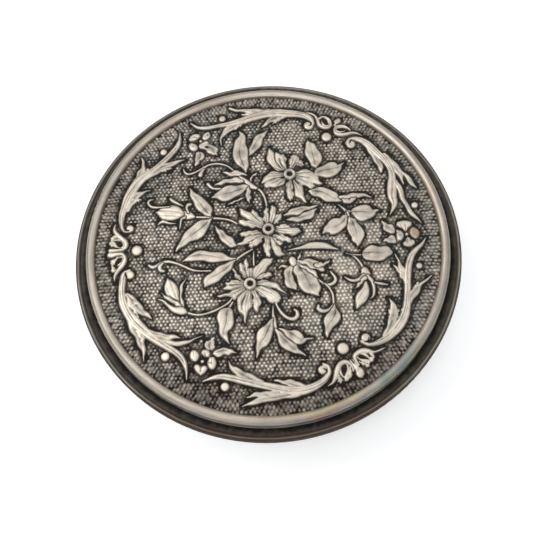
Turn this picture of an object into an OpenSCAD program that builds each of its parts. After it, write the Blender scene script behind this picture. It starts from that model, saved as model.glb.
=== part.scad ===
// Round silver pill box with a stamped lid that lifts off.
// The body is a shallow drum on a foot ring. The lid is a stamped panel held in a moulded rim,
// and a thin skirt under the lid slides down inside the drum and holds the lid by its close fit.
// Units are millimetres. The box stands on z = 0 and its axis is the Z axis.

/* [Overall] */
// Outside diameter over the lid's flange
box_d = 50; // [46:1:60]
// Height of the closed box, from the foot to the crest of the bead
box_h = 14; // [12:0.5:22]

/* [Lid] */
// Height of the lid above the seam, from its flange to the crest of the bead
lid_h = 2.2; // [2.1:0.1:2.6]
// Diameter of the wire that the bead is drawn from
bead_d = 1.2; // [1:0.05:1.3]
// Rise of the domed panel, from its edge to its middle
dome_rise = 0.45; // [0.2:0.05:0.6]
// Thickness of the stamped panel
panel_t = 0.4; // [0.3:0.05:0.45]
// Thickness of the gilt lining plate
lining_t = 0.25; // [0.15:0.05:0.3]
// Depth that the skirt reaches below the seam
skirt_drop = 2.6; // [1.5:0.1:4]

/* [Body] */
// Thickness of the drum's wall
wall_t = 0.54; // [0.4:0.02:0.7]
// Height of the rim band that the flange sits on
body_rim_h = 0.9; // [0.7:0.1:1.4]
// Thickness of the base plate
base_t = 0.6; // [0.5:0.1:0.9]
// Diameter of the foot wire
foot_d = 1.3; // [1:0.1:1.8]

/* [Fits] */
// Radial clearance between the skirt and the drum
skirt_gap = 0.06; // [0.03:0.01:0.1]
// Gap at the seam between the lid's flange and the body's rim
seam_gap = 0.08; // [0.05:0.01:0.15]

/* [Hidden] */
$fn = 96;

box_r = box_d / 2;
seam_z = box_h - lid_h;

// The bead is a round wire with a flat outer face, and it overlaps the panel's edge.
bead_r = bead_d / 2;
bead_centre_r = box_r - 2.23;
bead_centre_z = box_h - bead_r;
bead_foot_z = box_h - 1.05;

// The panel is a spherical cap. Its edge lies under the bead's inner side.
panel_r = bead_centre_r - 0.47;
panel_edge_z = box_h - 0.75;
panel_seat_z = panel_edge_z + 0.03;
dome_r = (panel_r * panel_r + dome_rise * dome_rise) / (2 * dome_rise);
dome_centre_z = panel_edge_z + dome_rise - dome_r;

// The rim's lip is a rounded edge, and a cove runs from it up to the bead.
lip_r = 0.32;
lip_centre_z = seam_z + seam_gap + lip_r;
rim_web_t = 0.37;
rim_inner_r = bead_centre_r + 0.03;
rim_band_r = rim_inner_r + 0.4;
cove_r = 0.55;

// The skirt hangs inside the rim, and the drum's bore clears it.
skirt_t = 0.45;
skirt_outer_r = rim_inner_r;
skirt_inner_r = skirt_outer_r - skirt_t;
skirt_top_z = bead_foot_z - 0.02;
skirt_foot_z = seam_z - skirt_drop;
bore_r = skirt_outer_r + skirt_gap;

// The drum has a rounded lower corner, and the base plate closes it. The foot wire is filed flat
// where it stands, and soldered to the base above.
wall_outer_r = bore_r + wall_t;
corner_r = 2.4;
foot_centre_r = wall_outer_r - corner_r - 0.6;
foot_flat = 0.12;
base_z = foot_d - 0.35;
base_r = wall_outer_r - corner_r;
body_rim_edge_r = 0.42;

// Pearls stand on the panel: one large one and two small ones in each third of the border.
large_pearls = [[-16.8, 0], [8.7, 15.3], [8.6, -14.4]];
large_pearl_r = 0.72;
small_pearls = [[-13.5, 14.4], [-5.4, 19.2], [19.4, 4.3], [19, -4.2], [-13, -14.3], [-5.8, -18.4]];
small_pearl_r = 0.5;

// The three large flowers of the posy have a ring for an eye.
flower_eyes = [[0.25, 2], [3.4, 9.85], [-2.35, -5.4]];
eye_r = 0.72;
eye_hole_r = 0.38;
eye_h = 0.4;

function dome_z(r) = dome_centre_z + sqrt(dome_r * dome_r - r * r);

module silver() color([0.72, 0.69, 0.64]) children();
module dark_silver() color([0.33, 0.31, 0.29]) children();
module gilt() color([0.83, 0.68, 0.4]) children();

// A box in the half plane that rotate_extrude turns, from its low corner to its high corner.
module band(r_in, r_out, z_low, z_high) {
    translate([r_in, z_low]) square([r_out - r_in, z_high - z_low]);
}

// A low round stud that swells from the panel. Its underside is buried in the sheet.
module pearl(place, pearl_r) {
    translate([place[0], place[1], dome_z(norm(place)) - pearl_r * 0.45])
        intersection() {
            sphere(r = pearl_r * 1.1);
            translate([0, 0, pearl_r * 0.3])
                cylinder(r = pearl_r * 1.2, h = pearl_r * 2);
        }
}

module lid_panel() {
    dark_silver() union() {
        rotate_extrude() intersection() {
            difference() {
                translate([0, dome_centre_z]) circle(r = dome_r, $fn = 720);
                translate([0, dome_centre_z]) circle(r = dome_r - panel_t, $fn = 720);
            }
            band(0, panel_r, panel_edge_z - panel_t, box_h);
        }
        for (place = large_pearls)
            pearl(place, large_pearl_r);
        for (place = small_pearls)
            pearl(place, small_pearl_r);
        for (eye = flower_eyes)
            translate([eye[0], eye[1], dome_z(norm(eye)) - panel_t / 2])
                difference() {
                    cylinder(r = eye_r, h = panel_t / 2 + eye_h);
                    cylinder(r = eye_hole_r, h = panel_t + eye_h * 2);
                }
    }
}

module lid_bead_ring() {
    silver() rotate_extrude() difference() {
        union() {
            translate([bead_centre_r, bead_centre_z]) circle(r = bead_r);
            band(panel_r, bead_centre_r + bead_r, bead_foot_z, bead_centre_z);
        }
        band(0, panel_r, 0, panel_seat_z);
        band(0, box_r, 0, bead_foot_z);
    }
}

module lid_rim() {
    web_top_z = seam_z + seam_gap + rim_web_t;
    silver() rotate_extrude() union() {
        band(rim_inner_r, rim_band_r, seam_z + seam_gap, bead_foot_z);
        band(rim_inner_r, box_r - lip_r, seam_z + seam_gap, web_top_z);
        translate([box_r - lip_r, lip_centre_z]) circle(r = lip_r);
        difference() {
            band(rim_band_r, rim_band_r + cove_r, web_top_z, web_top_z + cove_r);
            translate([rim_band_r + cove_r, web_top_z + cove_r]) circle(r = cove_r);
        }
    }
}

module lid_skirt() {
    silver() rotate_extrude() difference() {
        band(skirt_inner_r, skirt_outer_r, skirt_foot_z, skirt_top_z);
        translate([skirt_outer_r + 0.1, skirt_foot_z - 0.1]) rotate(45) square(0.36, center = true);
    }
}

module lid_lining() {
    gilt() translate([0, 0, panel_edge_z - panel_t - lining_t])
        cylinder(r = panel_r, h = lining_t);
}

module body_rim() {
    edge_centre_r = box_r - body_rim_edge_r;
    silver() rotate_extrude() union() {
        band(wall_outer_r, edge_centre_r, seam_z - body_rim_h, seam_z);
        translate([edge_centre_r, seam_z - body_rim_edge_r]) circle(r = body_rim_edge_r);
        band(edge_centre_r, box_r - 0.06, seam_z - body_rim_h, seam_z - body_rim_edge_r);
    }
}

module body_wall() {
    corner_z = base_z + corner_r;
    silver() rotate_extrude() union() {
        band(bore_r, wall_outer_r, corner_z, seam_z);
        intersection() {
            difference() {
                translate([wall_outer_r - corner_r, corner_z]) circle(r = corner_r);
                translate([wall_outer_r - corner_r, corner_z]) circle(r = corner_r - wall_t);
            }
            band(wall_outer_r - corner_r, wall_outer_r, base_z, corner_z);
        }
    }
}

module base_plate() {
    gilt() translate([0, 0, base_z]) cylinder(r = base_r, h = base_t);
}

module foot_ring() {
    silver() rotate_extrude() intersection() {
        translate([foot_centre_r, foot_d / 2 - foot_flat]) circle(r = foot_d / 2);
        band(foot_centre_r - foot_d, foot_centre_r + foot_d, 0, base_z);
    }
}

lid_panel();
lid_bead_ring();
lid_rim();
lid_skirt();
lid_lining();
body_rim();
body_wall();
base_plate();
foot_ring();
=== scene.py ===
# %% [markdown]
# # A round silver pill box
#
# The real object is a small silver box, 50 mm across. Its lid carries a stamped and chased sheet:
# a posy of flowers in the middle, six leaf scrolls round it, and a ground of tiny punched dots. The
# hollows are blackened with an oxide, and the high places are rubbed bright. A round bead frames the
# sheet, and a stepped rim with a rounded lip closes on the box below.
#
# The CAD model gives the exact solids. This script loads them as a fixed frame, dresses every surface
# with a procedural finish, and swaps the plain lid panel for the chased sheet.

# %% Load the frame
import math

import bmesh
import bpy
import numpy as np
from mathutils import Matrix, Vector


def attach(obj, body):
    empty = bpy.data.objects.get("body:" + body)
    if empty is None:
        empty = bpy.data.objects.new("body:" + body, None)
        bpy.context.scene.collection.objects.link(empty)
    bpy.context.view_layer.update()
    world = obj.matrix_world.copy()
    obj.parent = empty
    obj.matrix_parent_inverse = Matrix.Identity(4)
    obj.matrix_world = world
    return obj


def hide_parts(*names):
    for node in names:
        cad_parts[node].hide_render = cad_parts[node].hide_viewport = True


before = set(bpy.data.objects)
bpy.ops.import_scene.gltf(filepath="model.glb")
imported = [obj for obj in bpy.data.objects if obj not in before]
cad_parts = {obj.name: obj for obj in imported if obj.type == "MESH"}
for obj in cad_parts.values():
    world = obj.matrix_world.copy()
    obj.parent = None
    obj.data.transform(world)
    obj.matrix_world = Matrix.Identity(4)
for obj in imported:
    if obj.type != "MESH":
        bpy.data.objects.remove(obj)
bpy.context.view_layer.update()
MM = 0.001
scene = bpy.context.scene
print("CAD nodes:", sorted(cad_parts))

# %% [markdown]
# ## The camera
#
# The box is seen from above and a little from the front, from close by, so that the far side of the
# lid looks smaller. A camera is an object whose three axes point right, up and back. Working those
# axes out from a tilt and a roll keeps the view exact, where turning the camera by eye would not.

# %% Camera
LENS = 50.66
TILT = 1.181
ROLL = -0.1145
SWING = 0.0651
DISTANCE = 94.6
LOOK_AT = Vector((-0.33, -3.44, 14.0))

swing = Matrix.Rotation(SWING, 3, "Z")
back = swing @ Vector((0, -math.cos(TILT), math.sin(TILT)))
right_level = swing @ Vector((1, 0, 0))
up_level = back.cross(right_level)
right = math.cos(ROLL) * right_level + math.sin(ROLL) * up_level
up = math.cos(ROLL) * up_level - math.sin(ROLL) * right_level
aim = swing @ Vector((LOOK_AT.x, LOOK_AT.y, 0)) + Vector((0, 0, LOOK_AT.z))
eye = (aim + back * DISTANCE) * MM

camera_data = bpy.data.cameras.new("camera")
camera_data.sensor_width = 36
camera_data.lens = LENS
camera_data.clip_start = 0.001
camera = bpy.data.objects.new("camera", camera_data)
camera.matrix_world = Matrix((right, up, back)).transposed().to_4x4()
camera.matrix_world.translation = eye
scene.collection.objects.link(camera)
scene.camera = camera
print("camera", [round(x / MM, 1) for x in eye], "mm")

# %% [markdown]
# ## Helpers for node trees
#
# A sky or a metal is a tree of nodes, and each node takes several lines to set up. These helpers add
# one node each and return what comes out of it, so that a finish reads like a recipe. Wherever a
# helper takes a value, it may be a number, a colour or what came out of another node.

# %% Node helpers
def feed(tree, socket, value):
    """Gives a socket a number, a colour or another node's output."""
    if isinstance(value, bpy.types.NodeSocket):
        tree.links.new(value, socket)
    elif socket.type == "RGBA":
        socket.default_value = (*value, 1)
    else:
        socket.default_value = value


def node(tree, kind, **settings):
    """Adds a node, and sets its attributes, or its inputs by name."""
    made = tree.nodes.new(kind)
    for name, value in settings.items():
        if hasattr(made, name):
            setattr(made, name, value)
        else:
            feed(tree, made.inputs[name.replace("_", " ")], value)
    return made


def math_node(tree, operation, a, b, clamp=False):
    """Works out one number from two."""
    made = node(tree, "ShaderNodeMath", operation=operation, use_clamp=clamp)
    feed(tree, made.inputs[0], a)
    feed(tree, made.inputs[1], b)
    return made.outputs[0]


def vector_node(tree, operation, a, b=(0, 0, 0)):
    """Works out a vector from two. A length or a distance comes out as one number."""
    made = node(tree, "ShaderNodeVectorMath", operation=operation)
    feed(tree, made.inputs[0], a)
    feed(tree, made.inputs[1], b)
    return made.outputs["Value" if operation in ("LENGTH", "DISTANCE") else "Vector"]


def parts(tree, vector):
    """The X, Y and Z of a vector."""
    made = node(tree, "ShaderNodeSeparateXYZ")
    feed(tree, made.inputs[0], vector)
    return made.outputs["X"], made.outputs["Y"], made.outputs["Z"]


def span(tree, value, low, high, to_low=0.0, to_high=1.0, steps="SMOOTHSTEP"):
    """Maps low..high to to_low..to_high and stops at both ends."""
    made = node(tree, "ShaderNodeMapRange", interpolation_type=steps)
    for slot, number in enumerate((value, low, high, to_low, to_high)):
        feed(tree, made.inputs[slot], number)
    return made.outputs[0]


def mix(tree, factor, a, b):
    """Mixes two colours."""
    made = node(tree, "ShaderNodeMix", data_type="RGBA")
    for slot, value in ((0, factor), (6, a), (7, b)):
        feed(tree, made.inputs[slot], value)
    return made.outputs[2]


def glaze(tree, mask, share, under, over):
    """Lays one colour over another where the mask says. Where the mask is 1, share of it covers."""
    return mix(tree, math_node(tree, "MULTIPLY", mask, share), under, over)


def ramp(tree, value, stops, smooth=True):
    """Turns a value into a colour, by a ramp with (place, colour) stops."""
    made = node(tree, "ShaderNodeValToRGB")
    made.color_ramp.interpolation = "EASE" if smooth else "LINEAR"
    elements = made.color_ramp.elements
    elements[0].position, elements[0].color = stops[0][0], (*stops[0][1], 1)
    elements[1].position, elements[1].color = stops[-1][0], (*stops[-1][1], 1)
    for place, colour in stops[1:-1]:
        elements.new(place).color = (*colour, 1)
    feed(tree, made.inputs[0], value)
    return made.outputs[0]


print("node helpers ready")

# %% [markdown]
# ## Sky and lamps
#
# Silver has hardly any colour of its own: it shows what it faces. A wide white sky overhead fills the
# flat places with light, and a darker band near the horizon draws the edges. So the sky is a ramp
# from the horizon to the zenith. A large soft lamp on the left, and a weaker one in front, model the
# relief. Soft lamps are large: the larger the lamp, the softer the edge of its shadow.

# %% Sky
world = bpy.data.worlds.new("sky")
scene.world = world
world.use_nodes = True
sky = world.node_tree
direction = node(sky, "ShaderNodeTexCoord").outputs["Generated"]
upward = parts(sky, direction)[2]
sky_colour = ramp(sky, upward, [(0.0, (0.12, 0.115, 0.11)), (0.35, (0.2, 0.19, 0.185)),
                                (0.75, (0.8, 0.8, 0.8)), (1.0, (0.9, 0.9, 0.9))])
feed(sky, sky.nodes["Background"].inputs["Color"], sky_colour)
print("sky made")

# %% Lamps
LID_MIDDLE = Vector((0, 0, 0.012))


def lamp(name, place, size, power):
    """A square soft lamp that faces the lid."""
    data = bpy.data.lights.new(name, "AREA")
    data.size = size
    data.energy = power
    made = bpy.data.objects.new(name, data)
    made.location = place
    made.rotation_euler = (LID_MIDDLE - Vector(place)).to_track_quat("-Z", "Y").to_euler()
    scene.collection.objects.link(made)
    print(name, "placed")


lamp("left_window", (-0.16, 0.06, 0.30), 0.18, 0.22)
lamp("front_fill", (-0.10, -0.26, 0.20), 0.14, 0.1)

# %% [markdown]
# ## The paper
#
# The box stands on white paper. In a studio such paper is lit until it is pure white, and only the
# thin shadow right beside the box is left of it. The paper here glows by itself for that, and its glow
# is painted dimmer close to the box: a painted shadow, which keeps the shadow narrow.

# %% White paper
PAPER_SIZE = 1.5
PAPER = (0.93, 0.943, 0.96)
# Within these distances of the box the glow is painted dimmer, as a painted shadow.
PAINTED_SHADOW_CENTRE = (0.003, 0, 0)
PAINTED_SHADOW_FROM, PAINTED_SHADOW_TO = 0.0212, 0.0248
PAINTED_SHADOW_GLOW = (0.706, 0.721, 0.728)
GLOW_FAR = (0.97, 0.99, 1)

bm = bmesh.new()
bmesh.ops.create_grid(bm, x_segments=4, y_segments=4, size=PAPER_SIZE)
floor_mesh = bpy.data.meshes.new("floor")
bm.to_mesh(floor_mesh)
bm.free()
floor = bpy.data.objects.new("floor", floor_mesh)
scene.collection.objects.link(floor)

paper = bpy.data.materials.new("white_paper")
paper.use_nodes = True
tree = paper.node_tree
shader = tree.nodes["Principled BSDF"]
feed(tree, shader.inputs["Base Color"], PAPER)
feed(tree, shader.inputs["Roughness"], 0.9)
from_box = vector_node(tree, "DISTANCE", node(tree, "ShaderNodeTexCoord").outputs["Object"], PAINTED_SHADOW_CENTRE)
# Dimmer glow near the box: a painted shadow.
glow_with_painted_shadow = mix(tree, span(tree, from_box, PAINTED_SHADOW_FROM, PAINTED_SHADOW_TO), PAINTED_SHADOW_GLOW, GLOW_FAR)
feed(tree, shader.inputs["Emission Color"], glow_with_painted_shadow)
feed(tree, shader.inputs["Emission Strength"], 0.46)
floor_mesh.materials.append(paper)
scene.view_settings.view_transform = "Standard"
print("paper laid")

# %% [markdown]
# ## Finishes that several metals share
#
# Old silver is never one colour. It has warm and cool clouds of tarnish, fine scratches in every
# direction from wiping, and a faint grain left by the hammer and the polish. Each effect is a node
# group, built once, so that every metal can use it in its own size. A group hands out plain masks
# and heights, and each metal decides what to do with them.

# %% A group and its noise
def group(name, outputs, scale=None):
    """An empty node group that reads a Vector, and a Scale if it has one, and puts out named values."""
    tree = bpy.data.node_groups.new(name, "ShaderNodeTree")
    tree.interface.new_socket("Vector", in_out="INPUT", socket_type="NodeSocketVector")
    if scale:
        size = tree.interface.new_socket("Scale", in_out="INPUT", socket_type="NodeSocketFloat")
        size.default_value = scale
    for label in outputs:
        tree.interface.new_socket(label, in_out="OUTPUT", socket_type="NodeSocketFloat")
    return tree, tree.nodes.new("NodeGroupInput").outputs, tree.nodes.new("NodeGroupOutput").inputs


def noise(tree, vector, scale, detail, rough=0.55, stretch=None, turn=0.0):
    """Noise at a place. stretch squeezes it along each axis, after turn has turned it."""
    if stretch:
        mapping = node(tree, "ShaderNodeMapping", Scale=stretch, Rotation=(0.4 * turn, 0.3 * turn, turn))
        feed(tree, mapping.inputs["Vector"], vector)
        vector = mapping.outputs[0]
    made = node(tree, "ShaderNodeTexNoise", Vector=vector, Scale=scale, Detail=detail, Roughness=rough)
    return made.outputs[0]


print("groups can be made")

# %% Tarnish clouds
clouds, given, result = group("tarnish clouds", ("Warm", "Cool", "Smudge"), scale=200.0)
warm = noise(clouds, given["Vector"], given["Scale"], 5)
cool = noise(clouds, given["Vector"], given["Scale"], 4, 0.5, (1, 1, 1), 1.9)
smudge = noise(clouds, given["Vector"], 900.0, 5, 0.6)
feed(clouds, result["Warm"], span(clouds, warm, 0.42, 0.68))
feed(clouds, result["Cool"], span(clouds, cool, 0.45, 0.7))
feed(clouds, result["Smudge"], span(clouds, smudge, 0.3, 0.7))
print("made", clouds.name)

# %% Wiping scratches
scratches, given, result = group("wiping scratches", ("Mask", "Height"), scale=300.0)
lines = 0.0
for turn, squeeze in ((0.5, 26), (1.7, 30), (2.6, 22)):
    layer = noise(scratches, given["Vector"], given["Scale"], 3, 0.5, (1, squeeze, 1), turn)
    lines = math_node(scratches, "MAXIMUM", lines, span(scratches, layer, 0.62, 0.74))
feed(scratches, result["Mask"], lines)
feed(scratches, result["Height"], math_node(scratches, "MULTIPLY", lines, -1.0))
print("made", scratches.name)

# %% Metal grain
grain, given, result = group("metal grain", ("Height",))
fine = noise(grain, given["Vector"], 5200.0, 3, 0.6)
broad = noise(grain, given["Vector"], 700.0, 3, 0.5)
feed(grain, result["Height"], math_node(grain, "ADD", math_node(grain, "MULTIPLY", fine, 0.35), broad))
print("made", grain.name)

# %% [markdown]
# ## What every metal begins with
#
# The four metals of the box start alike: a Principled shader, the place of each point on the piece,
# and the three shared effects. The grain stands up and the scratches go down, by hundredths of a
# millimetre, so they are a bump in the shader and not a shape. Object coordinates are used because
# they stay with the piece when the lid is lifted.

# %% A new metal
BUMP_DEPTH = 0.00002


def placed(tree, shared, **inputs):
    """Places a shared effect in a metal and returns what it puts out."""
    made = tree.nodes.new("ShaderNodeGroup")
    made.node_tree = shared
    feed(tree, made.inputs["Vector"], tree.nodes["place"].outputs["Object"])
    for name, value in inputs.items():
        feed(tree, made.inputs[name], value)
    return made.outputs


def metal(name, cloud_scale, scratch_scale, bumpiness):
    """A new metal with its place, clouds and scratches, and the grain and scratches as bumps."""
    made = bpy.data.materials.new(name)
    made.use_nodes = True
    tree = made.node_tree
    where = node(tree, "ShaderNodeTexCoord", name="place").outputs["Object"]
    cloud = placed(tree, clouds, Scale=cloud_scale)
    scratch = placed(tree, scratches, Scale=scratch_scale)
    relief = math_node(tree, "ADD", placed(tree, grain)["Height"], scratch["Height"])
    bumps = node(tree, "ShaderNodeBump", Height=relief, Strength=bumpiness, Distance=BUMP_DEPTH)
    shader = tree.nodes["Principled BSDF"]
    feed(tree, shader.inputs["Normal"], bumps.outputs[0])
    return made, tree, shader.inputs, where, cloud, scratch


def roughness(tree, wiped_and_painted_light, cloud, black, bright):
    """Rough where the oxide is left, smoother where the mask is high, and a little uneven everywhere."""
    smudges = math_node(tree, "MULTIPLY", cloud["Smudge"], 0.1)
    return math_node(tree, "ADD", span(tree, wiped_and_painted_light, 0, 1, black, bright), smudges)


print("metals can be made")

# %% [markdown]
# ## Oxidised silver
#
# The chased sheet was blackened all over, and then wiped. It reads a painted mask,
# wear_and_painted_light, which says how far the oxide was wiped off each point: 1 on the leaves, 0 in
# the hollows. It also holds painted shade beside the motifs and round each flower's eye, and a painted
# highlight on each bead of the ground. The mask comes from the shape itself, further down. Oxide is no
# metal, so the hollows are hardly metallic. At the front the black turns brown, and one petal of the
# right-hand flower has a brown stain.

# %% Oxidised silver for the sheet
SILVER = (0.92, 0.835, 0.71)
SILVER_COOL = (0.72, 0.70, 0.61)
SILVER_WARM = (0.70, 0.58, 0.47)
OXIDE = (0.029, 0.0255, 0.019)
OXIDE_BLUE = (0.025, 0.033, 0.029)
OXIDE_BROWN = (0.023, 0.0165, 0.0115)
STAIN = (0.46, 0.33, 0.22)
STAIN_PLACE = (0.0191, 0.0003, 0.0136)

oxidised, tree, finish, where, cloud, scratch = metal("oxidised_silver", 260.0, 420.0, 0.15)
painted = node(tree, "ShaderNodeAttribute", attribute_name="wear_and_painted_light").outputs["Fac"]
# The mask holds wiped oxide, painted shade and painted highlights.
wiped_and_painted_light = math_node(tree, "ADD", painted, span(tree, cloud["Smudge"], 0, 1, -0.2, 0.05), clamp=True)
silver = glaze(tree, cloud["Warm"], 0.35, SILVER, SILVER_WARM)
silver = glaze(tree, cloud["Cool"], 0.45, silver, SILVER_COOL)
stained = span(tree, vector_node(tree, "DISTANCE", where, STAIN_PLACE), 0.0008, 0.0005)
silver = glaze(tree, stained, 0.8, silver, STAIN)
oxide = mix(tree, cloud["Cool"], OXIDE, OXIDE_BLUE)
at_front = span(tree, parts(tree, where)[1], -0.011, -0.019)
oxide = mix(tree, at_front, oxide, OXIDE_BROWN)
feed(tree, finish["Base Color"], mix(tree, wiped_and_painted_light, oxide, silver))
feed(tree, finish["Metallic"], span(tree, wiped_and_painted_light, 0, 1, 0.1, 0.8))
feed(tree, finish["Specular IOR Level"], 0.13)
feed(tree, finish["Roughness"], roughness(tree, wiped_and_painted_light, cloud, 0.6, 0.38))
print("made", oxidised.name)

# %% [markdown]
# ## Worn silver
#
# The bead, the rim and the lip are turned mouldings, so their wear runs in rings: the bead's crown is
# bright, the cove beside it is black, and the lip has a thin bright line. The thin bright lines at the
# bead's inner edge and on the lip are partly rubbed wear and partly a painted highlight. The finish
# reads how far a point is from the axis, and a ramp says how far the oxide is wiped off there. Tarnish
# clouds move the rings in and out by a few hundredths of a millimetre, because a ramp alone looks
# drawn by machine.

# %% Rings of wear and painted highlights
# Each stop is a distance from the axis, in millimetres, and the share of the oxide wiped off there.
# The peaks at 22.34 mm and 24.66 mm are also painted highlights.
WEAR_AND_HIGHLIGHT_RINGS = [(22.0, 0.08), (22.2, 0.45), (22.34, 0.98), (22.52, 0.92), (22.72, 0.74),
                (23.15, 0.66), (23.36, 0.55), (23.44, 0.0), (23.65, 0.0), (23.9, 0.04),
                (24.2, 0.09), (24.48, 0.16), (24.66, 0.42), (24.8, 0.12), (25.05, 0.05)]
RING_FROM, RING_TO = 22.0, 25.1

worn, tree, finish, where, cloud, scratch = metal("worn_silver", 160.0, 240.0, 0.05)
flat = vector_node(tree, "MULTIPLY", where, (1 / MM, 1 / MM, 0))
reach = vector_node(tree, "LENGTH", flat)
from_axis = math_node(tree, "ADD", reach, span(tree, cloud["Warm"], 0, 1, -0.03, 0.03))
part_way = span(tree, from_axis, RING_FROM, RING_TO, steps="LINEAR")
ring_stops = [((r - RING_FROM) / (RING_TO - RING_FROM), (v, v, v)) for r, v in WEAR_AND_HIGHLIGHT_RINGS]
rings = ramp(tree, part_way, ring_stops)
wiped_and_painted_light = math_node(tree, "ADD", rings, span(tree, cloud["Smudge"], 0, 1, -0.03, 0.02), clamp=True)
print("rings of wear:", len(WEAR_AND_HIGHLIGHT_RINGS))

# %% [markdown]
# ### Streaks round the ring
#
# Wiping round a moulding leaves streaks that follow it. Noise makes such streaks when it is stretched
# along the ring: the direction from the axis changes slowly on the way round, and the distance from
# the axis changes quickly on the way out.

# %% Streaks round the ring
SCRATCHED = (0.35, 0.31, 0.27)
STREAKED = (0.36, 0.32, 0.26)

silver = glaze(tree, cloud["Warm"], 0.6, SILVER, SILVER_WARM)
silver = glaze(tree, cloud["Cool"], 0.5, silver, SILVER_COOL)
silver = glaze(tree, scratch["Mask"], 0.15, silver, SCRATCHED)
round_x, round_y, _ = parts(tree, vector_node(tree, "NORMALIZE", flat))
along_ring = node(tree, "ShaderNodeCombineXYZ", X=math_node(tree, "MULTIPLY", round_x, 9.0),
                  Y=math_node(tree, "MULTIPLY", round_y, 9.0), Z=math_node(tree, "MULTIPLY", reach, 7.0))
streaks = span(tree, noise(tree, along_ring.outputs[0], 1.0, 5, 0.65), 0.35, 0.7)
silver = glaze(tree, streaks, 0.45, silver, STREAKED)
print("streaks made")

# %% [markdown]
# ### The coloured film
#
# A very thin tarnish on silver shows the colours of oil on water: yellow, rose, blue and green, in
# bands. The bands are a ramp that starts again and again, which is what the fraction of a growing
# number does. The film is strongest at the lower right of the bead, and faint at the upper left.

# %% Coloured film
FILM = [(0.0, (0.46, 0.52, 0.38)), (0.2, (0.68, 0.58, 0.28)), (0.4, (0.62, 0.42, 0.34)),
        (0.6, (0.36, 0.38, 0.44)), (0.8, (0.30, 0.46, 0.42)), (1.0, (0.46, 0.52, 0.38))]

film = math_node(tree, "MULTIPLY", noise(tree, where, 170.0, 3, 0.5), 2.2)
film = math_node(tree, "ADD", film, math_node(tree, "MULTIPLY", from_axis, 0.5))
film_colour = ramp(tree, math_node(tree, "FRACT", film, 0.0), FILM, smooth=False)
side_x, side_y, _ = parts(tree, flat)
lower_right = span(tree, math_node(tree, "SUBTRACT", side_x, side_y), 2, 26)
upper_left = span(tree, math_node(tree, "SUBTRACT", side_y, side_x), 14, 32, 0.0, 0.45)
patchy = span(tree, cloud["Cool"], 0.0, 1.0, 0.35, 0.95)
filmed = math_node(tree, "MULTIPLY", math_node(tree, "ADD", lower_right, upper_left), patchy, clamp=True)
filmed = math_node(tree, "MULTIPLY", filmed, span(tree, from_axis, 23.55, 23.35))
silver = glaze(tree, filmed, 0.85, silver, film_colour)
print("film bands:", len(FILM) - 1)

# %% [markdown]
# ### The black of the cove and the brown of the front
#
# The cove is nearly black, and below the seam the rim band of the body is brown. Along the front edge
# a brown film lies over everything. Then the colours come together.

# %% Worn silver for the bead, the rim and the lip
COVE_BLACK = (0.007, 0.0055, 0.004)
COVE_WARM = (0.016, 0.012, 0.008)
BAND_BROWN = (0.075, 0.04, 0.03)
FRONT_BROWN = (0.05, 0.018, 0.012)

oxide = mix(tree, cloud["Warm"], COVE_BLACK, COVE_WARM)
above_seam = span(tree, parts(tree, where)[2], 0.0117, 0.0119)
oxide = mix(tree, above_seam, BAND_BROWN, oxide)
shown = mix(tree, wiped_and_painted_light, oxide, silver)
at_front = math_node(tree, "MULTIPLY", span(tree, side_y, -17, -23.5), span(tree, from_axis, 23.9, 24.4))
feed(tree, finish["Base Color"], glaze(tree, at_front, 0.55, shown, FRONT_BROWN))
feed(tree, finish["Metallic"], span(tree, wiped_and_painted_light, 0, 0.5, 0.1, 0.68))
feed(tree, finish["Specular IOR Level"], 0.12)
feed(tree, finish["Roughness"], roughness(tree, wiped_and_painted_light, cloud, 0.5, 0.38))
print("made", worn.name)

# %% [markdown]
# ## Plain silver
#
# The wall, the skirt and the foot were never blackened. They only aged in the air and in pockets, so
# they are a grey, even silver with a few bright scratches.

# %% Plain silver for the wall, the skirt and the foot
AGED = (0.37, 0.345, 0.3)
AGED_WARM = (0.29, 0.25, 0.2)

plain, tree, finish, where, cloud, scratch = metal("plain_silver", 90.0, 200.0, 0.25)
silver = glaze(tree, cloud["Warm"], 0.6, AGED, AGED_WARM)
feed(tree, finish["Base Color"], glaze(tree, scratch["Mask"], 0.25, silver, SILVER))
feed(tree, finish["Metallic"], 1.0)
feed(tree, finish["Roughness"], span(tree, cloud["Smudge"], 0, 1, 0.27, 0.34))
print("made", plain.name)

# %% [markdown]
# ## The gilding
#
# The inside of such a box is often gilded, so that the silver does not tarnish the pills. Gilding is a
# very thin layer of gold: yellow and soft where it is whole, and paler where it has worn. Only the
# upper face of the base plate is gilt, so below its lowest part the metal turns to aged silver.

# %% Gilt lining
GOLD = (0.86, 0.66, 0.34)
GOLD_WARM = (0.72, 0.5, 0.25)
GOLD_WORN = (0.84, 0.77, 0.62)
UNDERSIDE_FROM, UNDERSIDE_TO = 0.001, 0.0013

gilt, tree, finish, where, cloud, scratch = metal("gilt", 110.0, 260.0, 0.3)
gold = glaze(tree, cloud["Warm"], 0.7, GOLD, GOLD_WARM)
gold = glaze(tree, scratch["Mask"], 0.45, gold, GOLD_WORN)
inside = span(tree, parts(tree, where)[2], UNDERSIDE_FROM, UNDERSIDE_TO)
feed(tree, finish["Base Color"], mix(tree, inside, AGED, gold))
feed(tree, finish["Metallic"], 1.0)
feed(tree, finish["Roughness"], span(tree, cloud["Smudge"], 0, 1, 0.24, 0.42))
print("made", gilt.name)

# %% [markdown]
# ## Dressing the CAD pieces
#
# Each CAD piece keeps its shape and gets one metal.

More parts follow.
